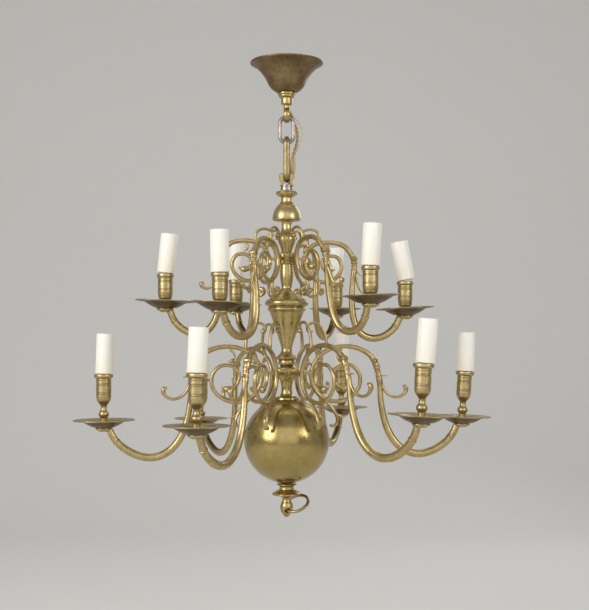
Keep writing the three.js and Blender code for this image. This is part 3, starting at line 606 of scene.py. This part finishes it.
# Ceiling hook: strap bar, shank, stepped collar and forged eye
def ceiling_hook():
    collar = profile([
        (0, -1, 1), (4.6, -1, 1), (4.6, -46.8, 1), (12.8, -46.8, 1), (13.5, -47.3), (13.6, -48.6),
        (13.2, -49.8), (12.2, -50.6, 1), (12, -51.2), (12.1, -52.2), (11.6, -53.4), (10.4, -54.1, 1),
        (9, -54.5), (8.4, -55.4, 1), (8.3, -58.8), (8.5, -62, 1), (8.4, -63.4), (7.4, -64.6),
        (5.4, -65.2, 1), (4.7, -66.2), (4.4, -68.4), (4.7, -72.5, 1), (0, -72.5, 1),
    ], 4)
    steps, eye_z, eye_radius = 72, -80.3, 9
    turns = [TAU * i / steps for i in range(steps)]
    eye = [(eye_radius * cos(turn), eye_z + eye_radius * sin(turn), 3) for turn in turns]
    strap = [(x, y, z) for x in (-46, 46) for y, z in ((-8, -3), (8, -3), (8, 0), (-8, 0))], walls(2, 4)
    shape = joined(turned(collar, 64), upright(swept(eye, 20, 4.6 / 3, True)), strap)
    piece("ceiling_hook_fine", mesh_of("ceiling_hook", shape), "stem_brass", "ceiling_hook", "canopy")


def link_line(top, bottom, radius, thickness, flat, widened):
    """A link's line with its half width across, which grows by widened along the straight sides."""
    line, arc_steps, side_steps = [], 28, 6
    narrow = flat * thickness
    for middle, other, first in ((top, bottom, 0), (bottom, top, pi)):
        for i in range(arc_steps + 1):
            turn = first + pi * i / arc_steps
            across = narrow + widened * cos(turn) ** 4
            line.append((radius * cos(turn), middle + radius * sin(turn), thickness, across))
        side = radius * cos(first + pi)
        for i in range(1, side_steps):
            height = middle + (other - middle) * i / side_steps
            line.append((side, height, thickness, narrow + widened))
    return line


def chain_links():
    upper = link_line(top=-93.2, bottom=-111.7, radius=10.1, thickness=2.9, flat=1, widened=0)
    lower = link_line(top=-125.2, bottom=-168.4, radius=10, thickness=3.3, flat=3.9 / 3.3, widened=0.9)
    shapes = swept(upper, 18, closed=True), upright(swept(lower, 18, closed=True))
    for where, shape, kind in zip(("upper", "lower"), shapes, ("steel", "brass")):
        body = f"link_{where}"
        piece(f"{body}_fine", mesh_of(body, shape), f"link_{kind}", f"chain_link_{where}", body, kind)


# Stem loop: two rounded prongs with a riveted pin, steel collar and tie rod
def stem_loop():
    shapes = []
    for side in (1, -1):
        outline = profile([
            (4.4, -187, 1), (9.4, -187, 1), (9.9, -183), (10.8, -177), (11.4, -172.8), (11.2, -170.5),
            (10.1, -169), (8.4, -168.5), (6.6, -168.6), (5.1, -169.3), (4.4, -171, 1),
        ], 5)
        shapes.append(prism([(side * x, z) for x, z in outline], 6, 1))
    rivet = turned(profile([
        (0, -10.5, 1), (2, -10.4), (2.6, -9.9), (2.2, -9.4, 1), (2.2, 9.4, 1), (2.6, 9.9), (2, 10.4),
        (0, 10.5, 1),
    ], 4), 24)
    shapes.append(moved(rivet, Matrix.Translation((0, 0, -172.5)) @ Matrix.Rotation(pi / 2, 4, "Y")))
    piece("stem_loop_fine", mesh_of("stem_loop", joined(*shapes)), "stem_brass", "stem_loop")
    collar = turned(profile([
        (0, -185, 1), (8, -185, 1), (8.8, -185.4), (9, -186.2), (9, -187.4, 1), (8.6, -187.8, 1),
        (8.6, -188.4, 1), (9, -188.8, 1), (9, -194.4), (8.6, -195, 1), (3, -195, 1), (3, -645, 1),
        (0, -645, 1),
    ], 3), 48)
    piece("steel_collar", mesh_of("steel_collar", collar), "link_steel", "stem_loop", slot="steel")


def prism(outline, half, bevel):
    """A flat plate with eased edges: the outline is (x, z), its thickness along Y."""
    centre = np.mean(outline, axis=0)
    vertices = []
    for y, shrink in ((-half, bevel), (-half + bevel, 0), (half - bevel, 0), (half, bevel)):
        for x, z in outline:
            away = np.array((x, z)) - centre
            length = np.linalg.norm(away)
            away *= max(length - shrink, 0.1) / length
            vertices.append((centre[0] + away[0], y, centre[1] + away[1]))
    return vertices, walls(4, len(outline))


# Outlines of turned stem pieces: (radius, height), and a third value at a corner
CROWN_BELL = [
    (3.5, -195.4, 1), (14.9, -195.4, 1), (15.8, -195.9), (15.6, -196.6, 1), (14.4, -196.9, 1),
    (14.4, -197.3, 1), (16, -197.5, 1), (16.6, -198.1), (16.3, -198.9, 1), (14.8, -200.2), (13, -201.7),
    (10.4, -203), (8.6, -203.7, 1), (8.2, -205.6), (8.1, -208), (8.2, -210.4, 1), (9.4, -210.7),
    (10, -211.5), (9.6, -212.4, 1), (11.6, -214), (14, -216.6, 1), (14.5, -216.8, 1), (17.4, -221.2),
    (19.2, -225), (20.4, -229), (21.1, -233), (21.3, -235.2, 1), (20.9, -235.5, 1), (20.9, -235.9, 1),
    (21.4, -236.2, 1), (21.3, -237.6), (20.4, -238.6, 1), (15.4, -239.6), (9.4, -240.3, 1), (8.2, -241.6),
    (7.5, -243.8), (7.3, -247), (7.6, -250.8, 1), (3.5, -250.8, 1),
]
UPPER_BALUSTER = [
    (3.5, -251.1, 1), (7.6, -251.1, 1), (8.1, -253.2), (9.6, -257), (11.8, -260.6), (13, -264),
    (13.3, -267.2), (12.6, -270.6), (11, -274.6), (9.2, -279.2), (7.8, -283.4), (7.4, -286, 1), (9, -286.4),
    (9.6, -287.4, 1), (12.6, -288, 1), (13.9, -288.8), (14.2, -290.2, 1), (13.6, -291, 1), (13.6, -293, 1),
    (14.1, -293.6), (13.6, -294.2, 1), (13.6, -298, 1), (14.1, -298.6), (13.6, -299.2, 1),
    (13.6, -301.2, 1), (14.2, -302), (13.6, -303.4), (12.8, -304, 1), (3.5, -304, 1),
]
CENTRE_BALUSTER = [
    (3.5, -304.3, 1), (9, -304.3, 1), (9.2, -308), (9.8, -316), (9.7, -323), (8.8, -330), (7.7, -336.4),
    (7.9, -339.4), (9.6, -342.6), (12.4, -345.6), (15.4, -348, 1), (17, -348.8), (21, -351.8),
    (25.4, -354.8), (29, -357.4, 1), (30.4, -357.9), (31.8, -359.6), (32.3, -361.8), (31.8, -364.2),
    (30.4, -366, 1), (27.6, -366.6), (26.8, -367.6), (27.6, -368.6, 1), (28.2, -370), (28, -371.8),
    (27, -373.4, 1), (25.6, -374.4), (24.2, -377.6), (21.8, -384.6), (19.4, -391.6), (16.6, -400),
    (13.6, -409.4), (11, -417.4), (9, -423.6), (7.9, -428), (7.8, -430.8), (8.6, -434), (10.6, -437.4),
    (13.6, -440.2), (16, -442, 1), (16.4, -443), (15.6, -444.2), (13.4, -445.6, 1), (11.6, -446.2, 1),
    (12.2, -447.6), (12.5, -449.6), (12.2, -451.6), (11.2, -453.2, 1), (9.6, -454.4, 1), (9.4, -456.8, 1),
    (12.9, -457.4, 1), (13.5, -457.8), (13.6, -458.6, 1), (12.6, -459, 1), (12.6, -472.6, 1),
    (13.4, -472.8, 1), (13.4, -473.6, 1), (11.4, -474.4, 1), (10.8, -475.6), (9.6, -477.4, 1),
    (3.5, -477.4, 1),
]


def fluted(radius, depth, low, high, flutes):
    """A ring with upright flutes round its wall."""
    steps = 6
    wall = []
    for i in range(flutes * steps):
        turn = TAU * i / (flutes * steps)
        reach = radius - depth + 2 * depth * abs(sin(0.5 * flutes * turn))
        wall.append((reach * cos(turn), reach * sin(turn)))
    inset, edge = 0.97, 0.5
    eased_wall = [(inset * x, inset * y) for x, y in wall]
    rings = [(eased_wall, low), (wall, low + edge), (wall, high - edge), (eased_wall, high)]
    vertices = [(x, y, z) for ring, z in rings for x, y in ring]
    return vertices, walls(len(rings), len(wall))


def arc(centre, radius, start, end, steps):
    points = []
    for i in range(steps + 1):
        turn = radians(start + (end - start) * i / steps)
        points.append((radius * sin(turn), centre + radius * cos(turn)))
    return points


def ball_globe():
    centre, radius, neck_angle, foot, bore = -564.9, 63, 17.2, 8, 3.5
    neck = profile([
        (3.5, -477.7, 1), (9.4, -477.7, 1), (9.2, -479.6), (8.2, -483.6), (7.8, -488), (8, -492.6),
        (9, -496.8), (11, -499.4, 1), (13, -499.8), (15.6, -500.4), (17.8, -501.2), (18.4, -502.2, 1),
    ], 5)
    inner = radius - 2
    outside = arc(centre, radius, neck_angle, 180 - degrees(asin(foot / radius)), 72)
    inside = arc(centre, inner, 180 - degrees(asin(foot / inner)), degrees(asin(bore / inner)), 24)
    stem_piece("ball_globe", neck + outside + inside, "ball_brass", sides=128)


# Finial under the ball, with a sloping hole for the ring
RING_HINGE = Vector((-0.17, 0.86, 0.48)).normalized()
RING_HOLE = Vector((0, 0, -663.5))


def bottom_finial():
    outline = profile([
        (0, -645.6, 1), (3.5, -645.6, 1), (3.5, -628.4, 1), (13.4, -628.4, 1), (14.7, -629), (14.6, -630),
        (13, -631, 1), (11, -632.2), (10.5, -634), (10.8, -636), (11.6, -637.4, 1), (14.4, -638.4),
        (17.8, -640.2), (20.6, -641.9), (21.6, -643.4), (21, -644.9, 1), (17.6, -645.8), (12.4, -646.6),
        (8.9, -647.8), (7, -649.6), (6.3, -651.6), (6.9, -654.4), (8.4, -657.6), (9.3, -660.8), (9.5, -664),
        (8.9, -667.6), (7.6, -670.8), (6, -673.2), (4.6, -675), (3.6, -676.3), (2, -677.4), (0, -677.6, 1),
    ], 4)
    finial = stem_piece("bottom_finial", outline, closed=False)
    spin = Vector((0, 0, 1)).rotation_difference(RING_HINGE).to_matrix().to_4x4()
    drill = turned([(0, -20), (4.3, -20), (4.3, 20), (0, 20)], 32)
    cut_hole(finial, drill, Matrix.Translation(RING_HOLE) @ spin)


def pull_ring():
    radius, wire, offset, rise = 17.5, 2.2, 1.37, radians(21)
    outward = Vector((cos(rise), 0, sin(rise)))
    outward = (outward - RING_HINGE * outward.dot(RING_HINGE)).normalized()
    centre = outward * (radius - offset) + RING_HOLE
    vertices = []
    steps, sides = 96, 16
    across = RING_HINGE.cross(outward)
    for i in range(steps):
        turn = TAU * i / steps
        spoke = outward * cos(turn) + RING_HINGE * sin(turn)
        for k in range(sides):
            roll = TAU * k / sides
            vertices.append(centre + spoke * (radius + wire * cos(roll)) + across * wire * sin(roll))
    shape = vertices, walls(steps, sides, closed=True)
    piece("pull_ring_fine", mesh_of("pull_ring", shape), "ring_brass", "pull_ring", "ring")


# Arms
def eased(value, low, high):
    share = min(max((value - low) / (high - low), 0), 1)
    return share * share * (3 - 2 * share)


def bent(stations, tier, facts):
    """Points of an arm with its own rise and pull, which turn and stretch it beyond its hinge."""
    hinge = facts["hinge"]
    length = tier["reach"] - hinge
    whole, stretch = asin(facts["rise"] / length), 1 + facts["pull"] / length
    out = []
    for x, z, *sizes in stations:
        run = (x - hinge) * stretch
        turn = whole * eased(x, hinge * (1 - HINGE_SHARE), hinge * (1 + HINGE_SHARE))
        out.append((hinge + run * cos(turn) - z * sin(turn), z * cos(turn) + run * sin(turn), *sizes))
    return out


def swung(shape, tier, angle):
    """An arm bent sideways: straight near its ring, and turned by the whole angle at its end."""
    out = []
    for x, y, z in shape[0]:
        turn = angle * eased(hypot(x, y), *tier["swing"])
        out.append((x * cos(turn) - y * sin(turn), x * sin(turn) + y * cos(turn), z))
    return out, shape[1]


def capped(line, nipple=()):
    """A bar's line with a round cap on its free end, and a turned nipple if it has one."""
    place, sizes = line[-1][:2], line[-1][2:]
    ahead = place - line[-2][:2]
    ahead /= np.linalg.norm(ahead)
    out = [tuple(p) for p in line]
    for turn in () if nipple else (0.5, 0.9, 1.25, 1.5):
        out.append((*(place + ahead * sizes[0] * sin(turn)), *(sizes * cos(turn))))
    for distance, radius in nipple:
        out.append((*(place + ahead * distance), radius))
    return out


NIPPLE = ((0.5, 1.35), (1.2, 1.2), (1.9, 1.55), (2.8, 1.6), (3.6, 1.2), (4.1, 0.6), (4.3, 0.1))


def collar_bead(line, index, radius):
    """A raised bead round a bar at one of its stations."""
    thickness = 1.3
    here, after = line[index], line[index + 1]
    direction = Vector((after[0] - here[0], 0, after[1] - here[1])).normalized()
    outline = profile([
        (0, -thickness, 1), (radius * 0.84, -thickness, 1), (radius * 0.97, -thickness * 0.6), (radius, 0),
        (radius * 0.97, thickness * 0.6), (radius * 0.84, thickness, 1), (0, thickness, 1),
    ], 3)
    spin = Vector((0, 0, 1)).rotation_difference(direction).to_matrix().to_4x4()
    return moved(turned(outline, 24), Matrix.Translation((here[0], 0, here[1])) @ spin)


def volute(x, z, size):
    """The scrolled end of the outer bar at a joint: a disc with a raised eye on both sides."""
    half = 5.3
    side = [
        (size, half - 1), (size - 0.8, half, 1), (size * 0.66, half, 1), (size * 0.6, half - 0.7, 1),
        (size * 0.42, half - 0.7, 1), (size * 0.34, half + 0.1), (0, half + 0.4, 1),
    ]
    other = [(r, -h, *rest) for r, h, *rest in reversed(side)]
    disc = turned(profile(other + side, 3), 28)
    return moved(disc, Matrix.Translation((x, 0, z)) @ Matrix.Rotation(pi / 2, 4, "X"))


def arm_mesh(name, tier, facts, swing):
    shapes = []
    main_stations, steps = tier["scroll"]["main"], 6
    main = smooth_line(bent(main_stations, tier, facts), steps)
    for bar, stations in tier["scroll"].items():
        if bar == "main":
            shapes.append(swept(capped(main, NIPPLE), sides=24, width=0.96, soft=0.35))
        else:
            line = smooth_line(bent(stations, tier, facts), steps + 1)
            shapes.append(swept(capped(line), sides=14, width=1.05))
    plain = smooth_line(main_stations, steps)
    for x, z, swell in tier["beads"]:
        at = int(np.argmin(np.hypot(plain[:, 0] - x, plain[:, 1] - z)))
        shapes.append(collar_bead(main, at, main[at][2] * swell))
    x, z, size = tier["volute"]
    shapes.append(volute(*bent([(x, z)], tier, facts)[0], size))
    root = min(station[0] for station in main_stations)
    lug = profile([
        (root - 5.5, -3.6, 1), (root - 4.8, -4.4, 1), (root, -4.4, 1), (root, 4.4, 1), (root - 4.8, 4.4, 1),
        (root - 5.5, 3.6, 1),
    ], 2)
    shapes.append(prism(lug, 2.8, 0.5))
    rolled = moved(joined(*shapes), Matrix.Rotation(radians(facts["roll"]), 4, "X"))
    tenon = prism([(9.8, -2.4), (root + 1, -2.4), (root + 1, 2.4), (9.8, 2.4)], 2.2, 0.3)
    return mesh_of(name, swung(joined(rolled, tenon), tier, swing), 40)


def arm_end(tier, facts):
    """Middle of the pan's brim at the end of an arm that sits in its pocket, before it swings."""
    x, brim = bent([(tier["reach"], tier["brim"])], tier, facts)[0]
    to_boss = BOSS_HEIGHT / 2 - SEAT
    boss = Matrix.Rotation(radians(facts["roll"]), 4, "X") @ Vector((x, 0, brim - to_boss))
    return boss + Vector((0, 0, to_boss))


def arm_end_mesh(name, stand):
    """Boss under the pan and the stud through it, which tips with its socket; Z is from the pan's brim."""
    boss = turned(profile([
        (0, SEAT - 5.8, 1), (5.4, SEAT - 5.6, 1), (7.4, SEAT - 5), (8.8, SEAT - 3.6, 1), (11.2, SEAT - 3),
        (12.2, SEAT - 1.6), (11.8, SEAT, 1), (0, SEAT, 1),
    ], 4), 40)
    top = STUD["top"] - SEAT
    stud = turned([(0, -1), (STUD["radius"], -1), (STUD["radius"], top), (0, top)], 24)
    stud = moved(stud, Matrix.Translation((0, 0, SEAT)) @ tipped(stand))
    return mesh_of(name, joined(boss, stud))


def pan_mesh(name, radius, sag):
    """Drip pan with a level floor; its thin sides are bent so that the rim dips by the angle sag."""
    floor = -PAN_DEPTH
    under = profile([
        (3.9, floor, 1), (13, floor, 1), (16, floor + 0.9), (20, floor + 2.5), (25, floor + 5.1),
        (29.5, floor + 7.9), (31.4, floor + 8.8, 1), (radius - 5, -2), (radius - 1.2, -1.5),
        (radius - 0.1, -1.2), (radius, -0.6), (radius - 0.3, -0.05), (radius - 1.4, 0.05, 1),
        (radius - 2.1, -0.3), (radius - 5, -0.75), (31, floor + 9.9, 1), (29, floor + 9.3),
        (24.6, floor + 6.6), (19.4, floor + 3.9), (15.4, floor + 2.2), (12.6, floor + 1.4, 1),
        (3.9, floor + 1.4, 1),
    ], 4)
    slope = tan(radians(sag))
    vertices, faces = turned(under, 96, True)
    bend_start, bend_width = 13.5, 3
    bowed = []
    for x, y, z in vertices:
        share = min(max((hypot(x, y) - bend_start) / bend_width, 0), 1)
        bowed.append((x, y, z - slope * x * share))
    mesh = mesh_of(name, (bowed, faces))
    # The pan's downward faces away from the rim get the darker copy of its brass, as painted shade.
    for finish in ("pan_brass", "pan_underside_painted_shade"):
        mesh.materials.append(FINISHES[finish])
    for polygon in mesh.polygons:
        at_rim = hypot(*polygon.center[:2]) > (radius - 1.6) * MM
        polygon.material_index = int(polygon.normal.z < 0 and not at_rim)
    return mesh


def grooved(radius, low, high, grooves):
    """A straight wall with turned grooves, from low to high."""
    points = [(radius, low, 1)]
    for z, depth, half in grooves:
        floor = radius - depth
        points += [(radius, z - half, 1), (floor, z - half * 0.4, 1)]
        points += [(floor, z + half * 0.4, 1), (radius, z + half, 1)]
    return points + [(radius, high, 1)]


def socket_mesh(tier_name):
    if tier_name == "lower":
        foot = [
            (3.9, 2, 1), (3.9, -9.6, 1), (8.4, -9.6, 1), (8.8, -9), (8.8, -7.2), (8, -6, 1), (6.4, -4.8),
            (5.3, -3), (5.2, 0), (5.3, 2.4), (6, 4), (7.2, 5.6), (7.6, 8), (7.2, 10.4), (5.8, 12.4),
            (4.7, 14.4), (4.3, 16.6), (4.5, 19), (5.4, 21.4), (7.4, 24), (9.4, 26.8), (10.4, 30),
            (11, 34, 1),
        ]
        wall = grooved(11, 34.4, 59.6, [
            (37, 0.45, 0.8), (39.4, 0.35, 0.5), (50, 0.45, 0.7), (52.2, 0.45, 0.7), (57, 0.3, 0.5),
        ])
        lip = [(12.2, 60.4), (13.4, 61, 1), (13.8, 61.8), (13.8, 65.2), (13.4, 66, 1)]
    else:
        foot = [
            (3.9, 2, 1), (3.9, -9.6, 1), (8.4, -9.6, 1), (8.8, -9.1), (8.8, -7.4), (8.3, -6.4, 1),
            (6.8, -5), (6.1, -3), (6.6, -0.8), (8, 1.2), (9.3, 3.6, 1), (9.8, 3.9), (9.9, 5, 1),
            (10.5, 8.4), (11, 12.5, 1),
        ]
        wall = grooved(11, 12.8, 33.4, [
            (15.4, 0.35, 0.5), (17.2, 0.35, 0.5), (27.2, 0.45, 0.6), (29.2, 0.45, 0.6), (31.6, 0.3, 0.4),
        ])
        lip = [(11.6, 34), (12.1, 34.5, 1), (12.4, 35.2), (12.4, 38.5), (12, 39.2, 1)]
    top = lip[-1][1]
    outline = profile(foot + wall + lip + [(10.2, top, 1), (10.2, top - 3, 1), (0, top - 3, 1)], 4)
    outline = [(0, 2)] + outline
    return mesh_of(f"{tier_name}_socket", turned(outline, 64))


def lampholder_mesh():
    radius, bore, above, depth = LAMPHOLDER.values()
    points = [
        (0, -3, 1), (radius - 0.4, -3, 1), (radius - 0.4, above - 3, 1), (radius, above - 2.6),
        (radius, above - 0.4), (radius - 0.5, above, 1), (bore + 0.5, above, 1),
    ]
    turns = 6
    for i in range(turns):
        z = above - 1 - i * 3.2
        points += [(bore, z, 1), (bore, z - 1.2, 1), (bore + 0.7, z - 1.9, 1), (bore + 0.7, z - 2.5, 1)]
    floor = above - depth
    points += [(bore, floor + 1, 1), (bore - 0.6, floor, 1)]
    points += [(2.2, floor, 1), (2, floor + 1.6, 1), (0, floor + 2, 1)]
    return mesh_of("lampholder", turned(profile(points, 3), 48))


def sleeve_mesh():
    radius, inner, length = SLEEVE.values()
    outline = profile([
        (inner, 0.4, 1), (inner + 0.4, 0, 1), (radius - 0.4, 0, 1), (radius, 0.5, 1), (radius, 14, 1),
        (radius, 28, 1), (radius, 42, 1), (radius, length - 0.9, 1), (radius - 0.3, length - 0.25),
        (radius - 0.9, length, 1), (inner + 0.3, length, 1), (inner, length - 0.5, 1), (inner, 30, 1),
    ], 3)
    return mesh_of("candle_sleeve", turned(outline, 56, True))


def tipped(angle):
    """A turn that tips a piece to the right."""
    return Matrix.Rotation(radians(angle), 4, "Y")


def raised(z, x=0):
    return Matrix.Translation((x * MM, 0, z * MM))


def add_candle(name, place, facts, tier, at):
    """Pan, socket, lampholder and sleeve at the end of one arm; at is the middle of the pan's brim."""
    stand, lean = facts["stand"], facts["lean"]
    node = f"{name}_drip_pan_{place}"
    pan = pan_mesh(node, facts["pan"], facts["sag"])
    piece(f"{node}_fine", pan, "pan_brass", node, matrix=at)
    foot_radius = 8.8
    seat = at @ raised(SEAT + foot_radius * abs(sin(radians(stand)))) @ tipped(stand)
    node = f"{name}_candle_socket_{place}"
    piece(f"{node}_fine", tier["socket_mesh"], "socket_brass", node, matrix=seat @ raised(-SEAT))
    lip = seat @ raised(tier["lip"] - SEAT, facts["shift"])
    lean_here = tipped(lean - stand)
    holder = tier["holder_mesh"]
    piece(f"{node}_lampholder", holder, "lampholder_plastic", node, matrix=lip @ lean_here)
    node = f"{name}_candle_sleeve_{place}"
    lift = GAP + 0.1 + SLEEVE["radius"] * abs(sin(radians(lean - stand)))
    sleeve_place = lip @ raised(lift) @ lean_here
    body, finish = f"{name}_candle_{place}", "ivory_plastic"
    piece(f"{node}_fine", tier["sleeve_mesh"], finish, node, body, finish, sleeve_place)


def add_tier(name, tier):
    pitch = 360 / len(tier["places"])
    for index, (place, row) in enumerate(tier["places"].items()):
        facts = dict(zip(PLACE_FACTS, row))
        slot, azimuth = radians(tier["slot"] + pitch * index), radians(facts["azimuth"])
        end = arm_end(tier, facts)
        swing = azimuth - slot - atan2(end.y, end.x)
        node = f"{name}_arm_{place}"
        pocket = raised(RING_Z[name]) @ Matrix.Rotation(pi + slot, 4, "Z")
        arm = arm_mesh(f"{node}_scroll", tier, facts, swing)
        piece(f"{node}_scroll", arm, "arm_brass", node, matrix=pocket)
        reach = hypot(end.x, end.y)
        middle = Vector((-reach * cos(azimuth), -reach * sin(azimuth), RING_Z[name] + end.z))
        at = Matrix.Translation(middle * MM)
        tip = arm_end_mesh(f"{node}_end", facts["stand"])
        piece(f"{node}_end", tip, "arm_brass", node, matrix=at)
        add_candle(name, place, facts, tier, at)


ceiling_cup()
ceiling_hook()
chain_links()
stem_loop()
stem_piece("crown_bell", profile(CROWN_BELL), "bell_brass")
stem_piece("upper_baluster", profile(UPPER_BALUSTER, 4))
stem_piece("centre_baluster", profile(CENTRE_BALUSTER, 4))
ring_flutes = mesh_of("ring_flutes", fluted(13.3, 0.34, -472.7, -458.9, 40), 30)
piece("ring_flutes", ring_flutes, "stem_brass", "centre_baluster")
ball_globe()
bottom_finial()
pull_ring()
candle_meshes = {"holder_mesh": lampholder_mesh(), "sleeve_mesh": sleeve_mesh()}
for tier_name, tier_facts in TIERS.items():
    tier_facts.update(candle_meshes, socket_mesh=socket_mesh(tier_name))
    add_tier(tier_name, tier_facts)


# Plain pale floor that sweeps up behind the object
def studio():
    tree, shader = new_material("studio_floor")
    feed(tree, shader, {"Base Color": (0.74, 0.73, 0.71, 1), "Roughness": 0.9})
    line = [(-6, 0), (-1, 0), (1.4, 0)]
    bend, start = 1.3, 1.4
    for i in range(1, 17):
        turn = 0.5 * pi * i / 16
        line.append((start + bend * sin(turn), bend - bend * cos(turn)))
    line.append((start + bend, 5))
    vertices = [(x, y, FLOOR_Z * MM + z) for y, z in line for x in (-6, 6)]
    faces = [(2 * i, 2 * i + 1, 2 * i + 3, 2 * i + 2) for i in range(len(line) - 1)]
    mesh = bpy.data.meshes.new("studio_floor")
    mesh.from_pydata(vertices, [], faces)
    mesh.polygons.foreach_set("use_smooth", [True] * len(mesh.polygons))
    mesh.materials.append(FINISHES["studio_floor"])
    floor = placed("studio_floor", mesh)


LIGHT_TARGET = Vector((0, 0, -0.4))
WARM_WHITE = (1, 0.99, 0.98)


def area_light(name, place, size, size_y, power, colour=(1, 1, 1)):
    data = bpy.data.lights.new(name, "AREA")
    data.shape = "RECTANGLE"
    data.size, data.size_y = size, size_y
    data.energy = power
    data.color = colour
    light = placed(name, data)
    light.location = place
    light.rotation_euler = (LIGHT_TARGET - Vector(place)).to_track_quat("-Z", "Y").to_euler()


studio()
area_light("key_left", (-1.7, -1.5, 0.3), 1.25, 1.25, 28, WARM_WHITE)
area_light("fill_right", (1.7, -1.5, 0.25), 0.7, 0.9, 12, WARM_WHITE)
area_light("front", (0, -2.7, 0.3), 3.2, 2.2, 17)
area_light("top", (0, 0.3, 1.3), 1.4, 1.4, 5)
area_light("rim", (0.9, 1.3, 0.3), 0.7, 0.9, 4)

world = bpy.data.worlds.new("studio")
bpy.context.scene.world = world
world.use_nodes = True
background = world.node_tree.nodes["Background"]
feed(world.node_tree, background, {"Color": (0.42, 0.415, 0.405, 1), "Strength": 1})

bpy.context.scene.view_settings.view_transform = "Standard"
